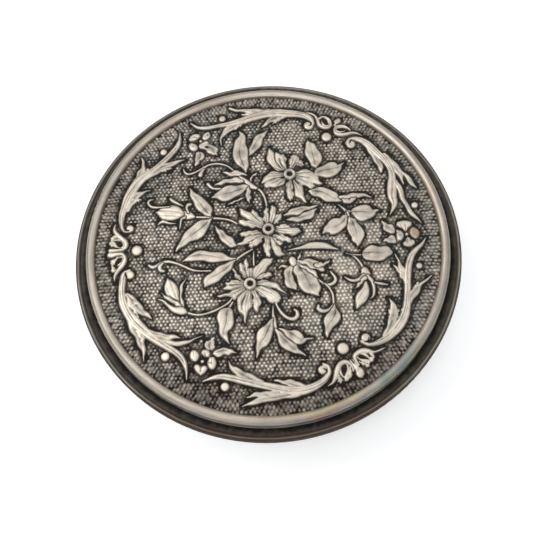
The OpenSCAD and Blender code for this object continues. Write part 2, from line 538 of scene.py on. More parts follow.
# %% Finishes on the pieces
FINISH = {"lid_panel": oxidised, "lid_bead_ring": worn, "lid_rim": worn, "body_rim": worn,
          "lid_skirt": plain, "body_wall": plain, "foot_ring": plain,
          "lid_lining": gilt, "base_plate": gilt}
for part_name, dress in FINISH.items():
    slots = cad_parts[part_name].data.materials
    slots.clear()
    slots.append(dress)
    print(part_name, "is", dress.name)

# %% [markdown]
# ## The chased sheet: how the relief is made
#
# A stamped sheet is a height over every point of a disc. Each leaf, petal and stem is a stroke: a
# smooth line through a few stations, each with its own half width in millimetres. Along a stroke the
# metal swells into a dome, and the kind of stroke says what is cut into it: a vein down a leaf, fine
# flutes down a petal, one long line in a scroll. A stroke that lies over another presses it down, and
# leaves a thin dark groove between the two, as a chasing tool does.

# %% [markdown]
# ### Three fields
#
# Everything on the sheet is kept in three fields: the height above the bare sheet, how far the oxide
# is wiped off, and the gap to the nearest motif, which is below zero inside one. All lengths here are
# millimetres. A stroke changes only the window of the fields that it covers, which keeps it fast.

# %% Height fields
CELLS = 250
TILE = 15.0
PITCH = TILE / CELLS
HALF = 22.5
COUNT = int(round(2 * HALF / PITCH)) + 1
FAR = 9.0
axis = np.linspace(-HALF, HALF, COUNT)
height = np.zeros((COUNT, COUNT))
gap = np.full((COUNT, COUNT), FAR)
wear_and_painted_light = np.zeros((COUNT, COUNT))
print("fields of", COUNT, "by", COUNT, "points,", PITCH, "mm apart")

# %% Places on the sheet
def window(x_low, x_high, y_low, y_high):
    """The rows and columns of the field that cover a box, in millimetres."""
    i, j = np.searchsorted(axis, [x_low, x_high])
    k, m = np.searchsorted(axis, [y_low, y_high])
    return slice(k, m), slice(i, j)


def seated(x, y):
    """Where a point of the flat drawing sits on the domed sheet: the middle moves a little to the front."""
    inward = 1 - (x * x + y * y) / HALF ** 2
    return x + 0.07 + 0.03 * inward, y - 0.01 - 0.19 * inward


THINNEST = 0.04


def smooth_line(stations, steps=7):
    """A smooth curve through the stations, with their half widths."""
    points = np.array(stations, float)
    points[:, 0], points[:, 1] = seated(points[:, 0], points[:, 1])
    padded = np.vstack([2 * points[0] - points[1], points, 2 * points[-1] - points[-2]])
    line = []
    for a, b, c, d in zip(padded, padded[1:], padded[2:], padded[3:]):
        for t in np.arange(steps) / steps:
            bend = 2 * a - 5 * b + 4 * c - d + t * (3 * (b - c) + d - a)
            line.append(b + 0.5 * t * (c - a + t * bend))
    line.append(points[-1])
    line = np.array(line)
    line[:, 2] = np.clip(line[:, 2], THINNEST, None)
    return line


def ease(value, low, high):
    """Rises softly from 0 at low to 1 at high."""
    t = np.clip((value - low) / (high - low), 0, 1)
    return t * t * (3 - 2 * t)


print("places and curves ready; stations never thinner than", THINNEST, "mm")

# %% [markdown]
# ### Measuring from a stroke
#
# To raise a stroke, every point near it has to know four things: how far it lies outside the edge,
# where across the stroke it lies, how far along, and how wide the stroke is there. They come from the
# nearest short piece of the line.

# %% Follow a line
def follow(line, reach):
    """For each point near a line: how far outside its edge, where across it, how far along, how wide."""
    low, high = line.min(0)[:2], line.max(0)[:2]
    far = line[:, 2].max() + reach
    rows, cols = window(low[0] - far, high[0] + far, low[1] - far, high[1] + far)
    shape = (rows.stop - rows.start, cols.stop - cols.start)
    edge, across = np.full(shape, FAR), np.zeros(shape)
    along, wide = np.zeros(shape), np.ones(shape)
    steps = np.hypot(*np.diff(line[:, :2], axis=0).T)
    run = np.concatenate([[0], np.cumsum(steps)])
    for k, (p, q) in enumerate(zip(line, line[1:])):
        r = max(p[2], q[2]) + reach
        j, i = window(min(p[0], q[0]) - r, max(p[0], q[0]) + r, min(p[1], q[1]) - r, max(p[1], q[1]) + r)
        here = (slice(j.start - rows.start, j.stop - rows.start),
                slice(i.start - cols.start, i.stop - cols.start))
        dx, dy = q[0] - p[0], q[1] - p[1]
        x, y = axis[i][None, :] - p[0], axis[j][:, None] - p[1]
        s = np.clip((x * dx + y * dy) / (dx * dx + dy * dy + 1e-9), 0, 1)
        ex, ey = x - s * dx, y - s * dy
        away, w = np.hypot(ex, ey), p[2] + s * (q[2] - p[2])
        better = away - w < edge[here]
        edge[here] = np.where(better, away - w, edge[here])
        across[here] = np.where(better, (dx * ey - dy * ex) / (steps[k] + 1e-9), across[here])
        along[here] = np.where(better, (run[k] + s * steps[k]) / run[-1], along[here])
        wide[here] = np.where(better, w, wide[here])
    return (rows, cols), edge, across, along, wide


print("lines can be followed")

# %% [markdown]
# ### What is cut into a stroke
#
# A leaf has a wavy vein, short ribs and a shallow bowl. A scroll has one long line and a fainter one
# beside it. A pad, which makes the small flowers, has a short line, and petals have fine flutes.
# Bodies and stems are smooth.

# %% Chased lines
def cuts(kind, across, along, wide):
    """What the chasing tool cut into a stroke, from 0 for whole metal to 1 for a deep line."""
    broad = np.clip((wide - 0.25) / 0.3, 0, 1)
    if kind == "leaf":
        vein = np.exp(-(((across - 0.12 * np.sin(5 * along)) / 0.075) ** 2))
        vein *= np.clip(1.3 - 1.4 * along, 0, 1)
        ribs = np.clip(np.cos(across * 13 + 3 * along) - 0.55, 0, 1) * np.clip(1 - along, 0, 1)
        bowl = np.clip(1 - (1.15 * across / wide) ** 2, 0, 1) * (0.65 + 0.35 * np.sin(6 * along + 9 * wide))
        return broad * np.clip(0.8 * vein + 0.34 * ribs + 0.55 * bowl, 0, 1)
    if kind == "scroll":
        line_cut = np.exp(-(((across - 0.1 + 0.25 * (along - 0.5)) / 0.045) ** 2))
        second = 0.6 * np.exp(-(((across + 0.22 - 0.2 * along) / 0.04) ** 2))
        return 0.85 * (line_cut + second) * np.clip((wide - 0.3) / 0.15, 0, 1)
    if kind == "pad":
        return 0.45 * np.exp(-((across / 0.05) ** 2)) * np.clip(0.9 - along, 0, 1)
    if kind in ("fluted", "petal"):
        lines = np.clip(np.cos(across * (19 if kind == "petal" else 9) + 2.3 * along + wide) - 0.35, 0, 1)
        fade = 0.6 * np.clip(1.1 - along, 0, 1) if kind == "petal" else 0.4
        return lines * fade * np.clip((wide - 0.12) / 0.2, 0, 1)
    return np.zeros_like(across)


print("chased lines ready")

# %% [markdown]
# ### Raising and engraving
#
# A stroke is raised to a rounded edge and a low crown. Where it lies over another, the lower one is
# pressed down and its oxide stays along the edge. A slot is the opposite: it sinks into what is
# already raised, and the black stays in it.

# %% Strokes and slots
def stroke(kind, peak, stations, over, grow):
    """Raises one stroke on the sheet. over presses down what lies below it, and otherwise it joins it."""
    line = smooth_line(stations)
    line[:, 2] *= grow * (1.22 if kind == "stem" else 1)
    place, edge, across, along, wide = follow(line, 0.3)
    if kind in ("leaf", "petal", "scroll"):
        start_x, start_y = stations[0][:2]
        sway = np.sin(along * 17 + 3 * start_x) * np.sign(across) + np.sin(along * 11 + 5 * start_y)
        edge = edge + 0.11 * wide / (wide + 0.3) * sway
    if kind == "petal":
        edge = edge + 0.1 * np.clip((along - 0.8) / 0.2, 0, 1) * (0.5 + 0.5 * np.cos(across * 17))
    inside = np.clip(-edge, 0, None)
    roll = np.minimum(0.24, wide * 0.95)
    rounded = np.sqrt(1 - (1 - np.clip(inside / roll, 0, 1)) ** 2)
    crown = 0.8 + 0.2 * (1 - np.clip(1 - inside / wide, 0, 1) ** 2)
    cut = cuts(kind, across, along, wide)
    top = 0.8 * peak * (0.7 + 0.3 * np.clip(wide / 0.3, 0, 1)) * rounded * crown * (1 - 0.3 * cut)
    if kind == "petal":
        top = top * (0.6 + 0.4 * np.clip(along * 2.2, 0, 1))
    below, shine = height[place], wear_and_painted_light[place]
    if over:
        pressed = np.where(edge < 0, np.minimum(below, 0.1 + 0.25 * below), below)
        near = ease(edge, -0.02, 0.13)
        below = np.where(edge >= 0, pressed * (0.35 + 0.65 * near), pressed)
        shine = shine * np.where(edge >= 0, 0.15 + 0.85 * near, 0)
    on_top = (edge < 0) & (top > below)
    height[place] = np.where(on_top, top, below)
    wear_and_painted_light[place] = np.where(on_top, ease(inside, -0.01, 0.11) * (1 - 0.72 * cut), shine)
    gap[place] = np.minimum(gap[place], edge)


def engrave(stations, depth):
    """Sinks one stroke into what is already raised, down to a dark slot."""
    place, edge, _, _, _ = follow(smooth_line(stations), 0.15)
    sunk = ease(-edge, -0.05, 0.05)
    height[place] = height[place] * (1 - depth * sunk)
    wear_and_painted_light[place] = wear_and_painted_light[place] * (1 - min(1.0, depth * 1.15) * sunk)


print("strokes and slots ready")

# %% [markdown]
# ### Pearls and eyes
#
# A pearl is a round stud with a steep side. A flower's eye is a thick ring round a dark hole, and fine
# lines fan out from it over the petals.

# %% Pearls and eyes
def stud(x, y, radius, peak, groove=True):
    """A round pearl, with or without a groove round it."""
    x, y = seated(x, y)
    place = window(x - radius - 0.3, x + radius + 0.3, y - radius - 0.3, y + radius + 0.3)
    away = np.hypot(axis[place[1]][None, :] - x, axis[place[0]][:, None] - y)
    dome = 0.6 * peak * np.sqrt(np.clip(1 - (away / radius) ** 5, 0, 1))
    below = height[place]
    if groove:
        below = below * (0.2 + 0.8 * ease(away, radius, radius + 0.16))
    on_top = (away < radius) & (dome > below)
    height[place] = np.where(on_top, dome, below)
    shine = wear_and_painted_light[place] * (ease(away, radius, radius + 0.16) if groove else 1)
    wear_and_painted_light[place] = np.where(on_top, ease(radius - away, -0.05, 0.12), shine)
    gap[place] = np.minimum(gap[place], away - radius)


def flower_eye(x, y, lines, hole=0.36, outer=0.8, peak=0.42):
    """A flower's eye: a thick ring with a flat top and a dark hole, in a shallow hollow."""
    x, y = seated(x, y)
    place = window(x - 3.4, x + 3.4, y - 3.4, y + 3.4)
    east, north = axis[place[1]][None, :] - x, axis[place[0]][:, None] - y
    away, angle = np.hypot(east, north), np.arctan2(north, east)
    fan = np.clip(np.cos(27 * angle + 2.5 * np.sin(3 * angle + x)) - 0.15, 0, 1)
    fan = fan + 0.6 * np.clip(np.cos(47 * angle + 3 * np.sin(2 * angle + y)) - 0.5, 0, 1)
    fan = np.clip(fan, 0, 1) * (1 - ease(away, 1.3, 3.4))
    hollow = 1 - ease(away, outer - 0.02, outer + 0.75)
    petals = height[place] * (1 - 0.22 * fan) * (1 - 0.35 * hollow)
    # The hollow round the ring is painted darker: oxide left in it, and painted shade.
    shade = wear_and_painted_light[place] * (1 - lines * fan) * (1 - 0.5 * hollow)
    ring = peak * (1 - np.clip(np.abs(away - (hole + outer) / 2) / (outer - hole) * 2, 0, 1) ** 8) ** 0.5
    seat = ease(away, outer - 0.03, outer + 0.1)
    height[place] = np.where(away < hole, 0, np.where(away < outer, ring, petals * seat))
    shine = ease(away, hole - 0.02, hole + 0.06)
    wear_and_painted_light[place] = np.where(away < outer, shine, shade * (0.2 + 0.8 * seat))
    gap[place] = np.where(away < outer + 0.1, np.minimum(gap[place], -0.01), gap[place])


print("pearls and eyes ready")

# %% [markdown]
# ## The motifs
#
# The numbers below are the drawing: for each stroke its kind, its height in millimetres, and its
# stations as (x, y, half width), from the root to the tip. For a slot, the height is its depth, where
# 1 goes down to the sheet. The posy's stems come first, so that the leaves lie over them.

# %% The posy's stems, leaves and buds
POSY = [
    # Stems first, so that leaves lie over them
    ("stem", 0.3, [(-1.2, 8.15, 0.16), (-0.6, 7.7, 0.13), (-0.2, 7, 0.13), (0.05, 6.2, 0.13),
                   (0.15, 5.4, 0.12)]),
    ("stem", 0.3, [(-7, 4.05, 0.15), (-5.6, 3.85, 0.12), (-4.6, 3.55, 0.12), (-3.8, 3.05, 0.1)]),
    ("stem", 0.3, [(-1.9, -0.7, 0.1), (-3, -1.3, 0.13), (-4.1, -2.05, 0.14)]),
    ("stem", 0.28, [(-7.3, -3.35, 0.1), (-8.6, -3.3, 0.1), (-9.6, -3.1, 0.12), (-10.6, -2.6, 0.13),
                    (-11.6, -2.1, 0.13), (-12.8, -1.75, 0.16), (-13.7, -1.95, 0.15), (-14.3, -2.3, 0.17),
                    (-14.8, -2.4, 0.2), (-15.2, -2.15, 0.14)]),
    ("stem", 0.32, [(-13.4, -1.95, 0.12), (-13.8, -2.4, 0.22), (-13.7, -2.9, 0.22), (-13.25, -3.05, 0.15)]),
    ("stem", 0.28, [(-7, 4.15, 0.12), (-8.2, 4.25, 0.12), (-9.4, 4.35, 0.12)]),
    ("stem", 0.3, [(-10.4, -8.75, 0.14), (-9.3, -9.1, 0.12), (-8.2, -9.1, 0.12), (-7, -8.75, 0.13),
                   (-6, -8.3, 0.12), (-5.1, -7.75, 0.12), (-4.6, -7.1, 0.1)]),
    ("stem", 0.28, [(-4.6, -7.7, 0.1), (-5.1, -8.5, 0.14)]),
    ("stem", 0.28, [(9.5, 5, 0.07), (10.1, 4.4, 0.12), (10.5, 3.9, 0.2), (10.45, 3.3, 0.16)]),
    ("stem", 0.28, [(10.5, 3.95, 0.14), (11.3, 3.9, 0.14)]),
    ("stem", 0.28, [(10.6, 3.8, 0.14), (10.8, 3, 0.12)]),
    ("stem", 0.28, [(9.9, -1.9, 0.06), (10.9, -2.4, 0.1), (11.6, -3.3, 0.12), (12.05, -4.3, 0.14)]),
    ("stem", 0.28, [(10.3, -2.1, 0.06), (11.4, -2.25, 0.09), (12.4, -2.35, 0.09)]),
    ("stem", 0.28, [(6.1, -5.2, 0.08), (6.9, -5.9, 0.13), (7.6, -6.05, 0.16), (8.2, -5.75, 0.18),
                    (8.35, -5.2, 0.17), (7.8, -4.3, 0.09)]),
    ("stem", 0.28, [(7, -5.9, 0.1), (7.5, -6.5, 0.11), (7.85, -7.3, 0.12), (7.9, -8.1, 0.12),
                    (7.85, -8.8, 0.12)]),
    ("stem", 0.3, [(7.75, -8.8, 0.1), (7.3, -9.3, 0.15), (6.6, -9.5, 0.2), (6, -9.2, 0.22),
                   (6, -8.75, 0.14)]),
    ("stem", 0.28, [(0.4, -8.4, 0.06), (0.35, -9.4, 0.12), (0.45, -10.4, 0.2), (0.65, -11.6, 0.12)]),
    ("stem", 0.3, [(0.75, -8.2, 0.12), (1.3, -9.3, 0.16), (2, -10.05, 0.18), (2.8, -10.3, 0.2),
                   (3.3, -9.95, 0.22), (3.3, -9.4, 0.18), (3, -9.1, 0.12)]),
    ("stem", 0.3, [(-4.1, 11, 0.1), (-4.9, 11.7, 0.11), (-6, 12.1, 0.12), (-7.2, 12.05, 0.13),
                   (-8.1, 11.6, 0.13), (-8.9, 11.15, 0.12), (-9.6, 10.85, 0.13), (-10.2, 10.8, 0.13),
                   (-10.6, 11.1, 0.12), (-10.8, 11.6, 0.07)]),
    ("stem", 0.34, [(-8, 11.4, 0.12), (-8.35, 10.95, 0.2), (-8.5, 10.55, 0.27)]),
    ("stem", 0.3, [(-5.5, 8.3, 0.1), (-6.6, 8.35, 0.13), (-7.1, 8.6, 0.16), (-7.5, 9.1, 0.2)]),
    ("stem", 0.28, [(-3.2, 9.9, 0.15), (-2.4, 9.2, 0.24), (-1.8, 8.5, 0.3), (-1.1, 8.1, 0.18)]),
    ("leaf", 0.26, [(-1.8, 9.1, 0.1), (-1.7, 9.7, 0.13), (-1.3, 10.1, 0.16), (-0.9, 10.35, 0.06)]),
    ("stem", 0.24, [(-1.8, -2.9, 0.1), (-1.8, -2, 0.11), (-1.75, -1, 0.06)]),
    # Leaves about the posy
    ("leaf", 0.36, [(-6.65, 2.85, 0.1), (-6, 1.9, 0.35), (-5.3, 1, 0.62), (-4.7, 0.4, 0.5),
                    (-4.1, 0, 0.22)]),
    ("leaf", 0.4, [(-4.1, -2.1, 0.12), (-5.2, -2.95, 0.5), (-6.3, -3.8, 0.78), (-7.4, -4.6, 0.6),
                   (-8.15, -5.5, 0.08)]),
    ("leaf", 0.38, [(-10.9, -1.95, 0.06), (-9.7, -1.35, 0.4), (-8.3, -1.25, 0.72), (-6.6, -1.5, 0.65),
                    (-5.2, -1.75, 0.32), (-4, -1.85, 0.1)]),
    ("leaf", 0.38, [(-7.1, 4.3, 0.1), (-7.75, 5.2, 0.62), (-8.4, 6.2, 0.85), (-9.2, 7.2, 0.5),
                    (-9.98, 8.65, 0.06)]),
    ("leaf", 0.4, [(-7.1, 4, 0.12), (-8.2, 3, 0.72), (-9.4, 2, 0.95), (-10.5, 1.1, 0.6),
                   (-11.2, 0.35, 0.28), (-11.65, -0.4, 0.12)]),
    ("stem", 0.34, [(-9.4, 4.4, 0.18), (-10.2, 4.65, 0.45), (-11.2, 4.8, 0.45)]),
    ("stem", 0.3, [(-10.1, 5, 0.12), (-10.35, 5.7, 0.13), (-10.2, 6.15, 0.2), (-9.9, 6.25, 0.2)]),
    ("stem", 0.3, [(-10.6, 4.35, 0.18), (-11, 4.2, 0.14), (-11.15, 3.5, 0.13), (-11.25, 2.7, 0.06)]),
    ("fluted", 0.44, [(-11.1, 4.9, 0.45), (-12, 5.1, 0.95), (-12.9, 5.15, 1), (-13.6, 5.2, 0.55),
                      (-14.4, 5.3, 0.08)]),
    ("stem", 0.28, [(-12.6, 6.05, 0.1), (-14, 6.05, 0.12), (-15, 6.2, 0.15), (-15.45, 6.75, 0.15),
                    (-15.3, 7.15, 0.13), (-14.8, 7.25, 0.06)]),
    ("stem", 0.3, [(-10.8, 6.05, 0.06), (-11.6, 6.5, 0.15), (-12.2, 6.9, 0.2), (-12.5, 7.2, 0.16)]),
    ("stem", 0.28, [(-11.7, 3.55, 0.05), (-12.6, 3.65, 0.13), (-13.5, 3.95, 0.18), (-14.1, 3.55, 0.08)]),
    ("fluted", 0.42, [(-11.25, -7.8, 0.12), (-11.8, -6.7, 0.5), (-12.35, -5.5, 0.78), (-12.8, -4.1, 0.1)]),
    ("leaf", 0.32, [(-10.9, -8, 0.26), (-11.05, -6.6, 0.2), (-11, -5.3, 0.18), (-10.4, -4.1, 0.08)]),
    ("leaf", 0.32, [(-11.2, -8, 0.3), (-12, -7.2, 0.3), (-12.8, -6.75, 0.2), (-13.6, -5.95, 0.06)]),
    ("stem", 0.34, [(-10.5, -8.7, 0.2), (-11, -8.5, 0.4), (-11.9, -8.3, 0.3), (-12.7, -7.7, 0.18),
                    (-13.3, -7.1, 0.13), (-13.9, -6.85, 0.08)]),
    ("leaf", 0.42, [(-5.15, -8.4, 0.1), (-5.45, -9.3, 0.8), (-5.55, -10.3, 0.92), (-5.75, -11.3, 0.62),
                    (-5.65, -12.2, 0.3), (-5.1, -13.1, 0.06)]),
    ("leaf", 0.4, [(5.9, 7.1, 0.15), (7, 6.95, 0.7), (8, 6.6, 0.85), (9, 6, 0.6), (10, 5.45, 0.08)]),
    ("leaf", 0.34, [(9.9, 6, 0.2), (11, 6.15, 0.36), (12.4, 6.2, 0.28), (13.2, 6.1, 0.24),
                    (14, 5.8, 0.05)]),
    ("leaf", 0.34, [(10.2, 5.6, 0.2), (10.9, 5.35, 0.36), (11.9, 5.85, 0.12)]),
    ("leaf", 0.4, [(11.2, 3.8, 0.12), (11.7, 3.7, 0.65), (12.5, 3.65, 1), (13.3, 3.55, 0.8),
                   (14, 3.7, 0.35), (14.7, 3.85, 0.05)]),
    ("leaf", 0.4, [(10.4, 3.3, 0.15), (9.8, 2.5, 0.7), (9, 1.95, 0.95), (8.1, 1.6, 0.6),
                   (7.3, 1.15, 0.22)]),
    ("leaf", 0.4, [(10.8, 3.1, 0.1), (11.1, 2.1, 0.6), (11.4, 1.2, 0.95), (11.6, 0.2, 0.68),
                   (11.5, -0.9, 0.24)]),
    ("leaf", 0.42, [(12.25, -2.1, 0.25), (12.9, -2.15, 0.8), (13.9, -2.2, 1.02), (14.9, -2.1, 0.72),
                    (15.85, -2, 0.05)]),
    ("stem", 0.36, [(12.1, -4.4, 0.36), (12.2, -4.9, 0.46)]),
    ("stem", 0.3, [(11.9, -5.1, 0.22), (11.3, -5.55, 0.19), (10.6, -5.7, 0.18), (10, -5.5, 0.13),
                   (9.5, -5.15, 0.07)]),
    ("stem", 0.3, [(12.4, -5.2, 0.2), (12.9, -5.9, 0.2), (13.05, -6.9, 0.17), (12.9, -7.8, 0.13),
                   (12.45, -8.25, 0.05)]),
    ("stem", 0.28, [(13.2, -6.1, 0.1), (14, -6.3, 0.15), (14.8, -6.5, 0.08)]),
    ("leaf", 0.32, [(12, -5.4, 0.25), (11.3, -6.2, 0.22), (10.65, -6.85, 0.06)]),
    ("fluted", 0.42, [(12.1, -6.1, 0.2), (11.95, -7.1, 0.5), (11.4, -8, 0.68), (10.95, -8.8, 0.36),
                      (10.75, -9.3, 0.18)]),
    ("fluted", 0.3, [(2.5, -1.1, 0.05), (4.2, -0.85, 0.2), (5.6, -0.6, 0.42), (7.2, -0.7, 0.42),
                     (8.3, -1.1, 0.22), (9.1, -1.35, 0.05)]),
    ("leaf", 0.3, [(3.6, -2.8, 0.16), (3.95, -2.2, 0.16), (4.3, -1.35, 0.06)]),
    ("stem", 0.3, [(2.9, -3.4, 0.16), (2.4, -3.4, 0.16), (1.8, -3.2, 0.14), (1.35, -3.5, 0.07)]),
    ("leaf", 0.34, [(3, -3.2, 0.2), (2.5, -4.2, 0.5), (2.55, -5.2, 0.6), (3.0, -6.0, 0.4),
                    (3.4, -6.5, 0.1)]),
    ("leaf", 0.34, [(3.6, -2.8, 0.2), (4.9, -2.85, 0.42), (5.9, -3.3, 0.55), (6.6, -3.75, 0.42),
                    (6.9, -4.0, 0.25)]),
    ("leaf", 0.34, [(6.1, -3.4, 0.35), (7.1, -3.25, 0.24), (7.8, -2.85, 0.08)]),
    ("leaf", 0.46, [(3.5, -3.1, 0.25), (4.2, -4.2, 0.85), (4.8, -5.3, 1.2), (5.4, -6.3, 0.85),
                    (6.2, -7.5, 0.08)]),
    ("leaf", 0.36, [(3.9, -3.2, 0.1), (5, -3.85, 0.28), (5.8, -4.5, 0.24), (6.2, -5.1, 0.08)]),
    ("stem", 0.38, [(3, -2.1, 0.1), (3.1, -2.5, 0.36), (3.2, -2.9, 0.34)]),
    ("leaf", 0.4, [(7.95, -8.7, 0.1), (7.9, -9.8, 0.55), (7.5, -10.7, 0.8), (7, -11.6, 0.52),
                   (6.8, -12.9, 0.06)]),
    ("leaf", 0.4, [(0.3, -10.2, 0.12), (-0.3, -11.2, 0.58), (-0.8, -12.3, 0.82), (-1.4, -13.5, 0.5),
                   (-1.9, -15, 0.06)]),
    ("leaf", 0.36, [(0.6, -11.5, 0.1), (1.2, -12.6, 0.5), (2, -13.5, 0.66), (3, -14.3, 0.4),
                    (4.1, -15.1, 0.06)]),
    ("leaf", 0.4, [(1, -11.45, 0.06), (2.2, -12.15, 0.48), (3.2, -12.75, 0.66), (3.8, -13.1, 0.4),
                   (4.4, -13, 0.2), (5.1, -12.9, 0.06)]),
    ("leaf", 0.42, [(6.9, 10.6, 0.08), (6.95, 11.5, 0.6), (6.8, 12.5, 1), (6.5, 13.5, 0.75),
                    (6.1, 15, 0.06)]),
    ("leaf", 0.42, [(6.9, 9.7, 0.25), (7.8, 10, 0.8), (8.8, 10.2, 1), (9.8, 10.5, 0.5),
                    (10.8, 11.15, 0.05)]),
    ("leaf", 0.42, [(-2.35, 10.5, 0.08), (-2.7, 12, 0.62), (-3.1, 13.5, 1.06), (-3, 15, 0.72),
                    (-2.8, 16.2, 0.36), (-3.1, 17, 0.1)]),
    ("leaf", 0.36, [(-1.9, 13.1, 0.08), (-1.2, 14.2, 0.5), (-0.7, 15.2, 0.7), (-0.1, 16.1, 0.36),
                    (0.9, 16.9, 0.06)]),
    ("leaf", 0.34, [(-2.3, 10.1, 0.1), (-3.4, 10.5, 0.34), (-4.4, 10.45, 0.36), (-5.45, 10.75, 0.06)]),
    ("leaf", 0.36, [(-2.9, 9.3, 0.25), (-4, 9.45, 0.36), (-5.2, 9.35, 0.32), (-6.6, 8.85, 0.08)]),
    ("leaf", 0.42, [(-2.2, 8.4, 0.15), (-3.5, 8, 0.72), (-4.8, 7.55, 0.95), (-6, 7.25, 0.58),
                    (-7.1, 7, 0.05)]),
    ("leaf", 0.26, [(-2.7, 6.8, 0.06), (-3.7, 6.4, 0.15), (-4.9, 5.9, 0.08)]),
    ("leaf", 0.36, [(-2.1, 8.2, 0.12), (-2.2, 7.2, 0.38), (-2.1, 5.95, 0.1)]),
    ("leaf", 0.4, [(2.4, 3.9, 0.14), (3.6, 4.25, 0.44), (4.9, 4.6, 0.42), (6.8, 4.95, 0.06)]),
    ("leaf", 0.4, [(2.7, 3.2, 0.08), (4.2, 3.25, 0.42), (5.6, 3.75, 0.48), (6.6, 4.5, 0.16)]),
]
print("posy:", len(POSY))

# %% [markdown]
# ### The three large flowers
#
# Each petal has its own stroke, because no two petals of the real flowers are alike. A flower made of
# one petal that is turned round an axis would be shorter to write, and would look stamped by a machine.

# %% The three large flowers
MIDDLE_FLOWER = [
    ("petal", 0.42, [(-0.7, 2.5, 0.25), (-1.9, 2.85, 0.48), (-2.9, 3.1, 0.44), (-3.3, 3.2, 0.3)]),
    ("petal", 0.44, [(-0.5, 2.9, 0.3), (-1.7, 3.7, 0.62), (-2.6, 4.3, 0.5), (-3.5, 5.2, 0.08)]),
    ("petal", 0.42, [(-0.5, 3.1, 0.25), (-1.3, 4, 0.42), (-1.85, 5.05, 0.1)]),
    ("petal", 0.42, [(0.1, 3, 0.25), (0.05, 4, 0.42), (0.15, 5.25, 0.12)]),
    ("petal", 0.44, [(0.6, 3, 0.25), (0.95, 4.2, 0.5), (0.95, 5.5, 0.12)]),
    ("petal", 0.4, [(1.1, 2.8, 0.25), (1.6, 3.5, 0.42), (1.75, 3.9, 0.3)]),
    ("petal", 0.42, [(1.4, 2.2, 0.2), (2.2, 2.25, 0.38), (2.8, 2.2, 0.32)]),
    ("petal", 0.44, [(1.2, 1.8, 0.25), (2.4, 1.6, 0.52), (3.5, 1.5, 0.52), (4.6, 1.5, 0.06)]),
    ("petal", 0.42, [(1, 1.1, 0.2), (1.9, 0.7, 0.44), (2.8, 0.3, 0.4)]),
    ("petal", 0.42, [(0.05, 0.9, 0.3), (-0.05, -0.3, 0.45), (0.05, -1.55, 0.4)]),
    ("petal", 0.42, [(0.5, 0.8, 0.2), (0.9, -0.3, 0.42), (1.4, -1.3, 0.46), (2.3, -1.85, 0.1)]),
    ("petal", 0.38, [(0.8, 0.7, 0.2), (1.4, 0.05, 0.3), (2.15, -0.25, 0.1)]),
    ("petal", 0.42, [(-0.7, 1.6, 0.2), (-2, 1.6, 0.36), (-3.2, 1.42, 0.32)]),
    ("petal", 0.4, [(-0.6, 1.2, 0.25), (-1.8, 0.8, 0.56), (-2.8, 0.4, 0.42), (-3.9, -0.05, 0.08)]),
    ("petal", 0.44, [(-0.5, 1.1, 0.25), (-1.3, 0.4, 0.52), (-2, -0.2, 0.36)]),
    ("slot", 0.55, [(-2.05, 4.6, 0.02), (-1.5, 3.9, 0.04), (-0.8, 3.1, 0.04)]),
    ("slot", 0.55, [(-3.2, 3.7, 0.03), (-2.4, 3.5, 0.04), (-1.2, 2.9, 0.03)]),
    ("slot", 0.55, [(0.52, 4.9, 0.03), (0.5, 4.2, 0.04), (0.4, 3.2, 0.04)]),
    ("slot", 0.5, [(1.35, 4.2, 0.03), (1.2, 3.6, 0.04), (0.9, 2.9, 0.03)]),
    ("slot", 0.5, [(3.3, 1.0, 0.04), (2.2, 1.15, 0.04), (1.2, 1.35, 0.03)]),
    ("slot", 0.5, [(2.9, 2.0, 0.03), (2, 1.95, 0.04), (1.3, 1.9, 0.03)]),
    ("slot", 0.55, [(0.5, -1.3, 0.04), (0.45, -0.3, 0.04), (0.4, 0.8, 0.03)]),
    ("slot", 0.5, [(1.9, -0.6, 0.03), (1.3, -0.1, 0.04), (0.75, 0.7, 0.03)]),
    ("slot", 0.5, [(-3, 1.05, 0.04), (-2, 1.2, 0.04), (-0.9, 1.4, 0.03)]),
    ("slot", 0.5, [(-2.4, 0.2, 0.03), (-1.6, 0.65, 0.04), (-0.8, 1.1, 0.03)]),
]
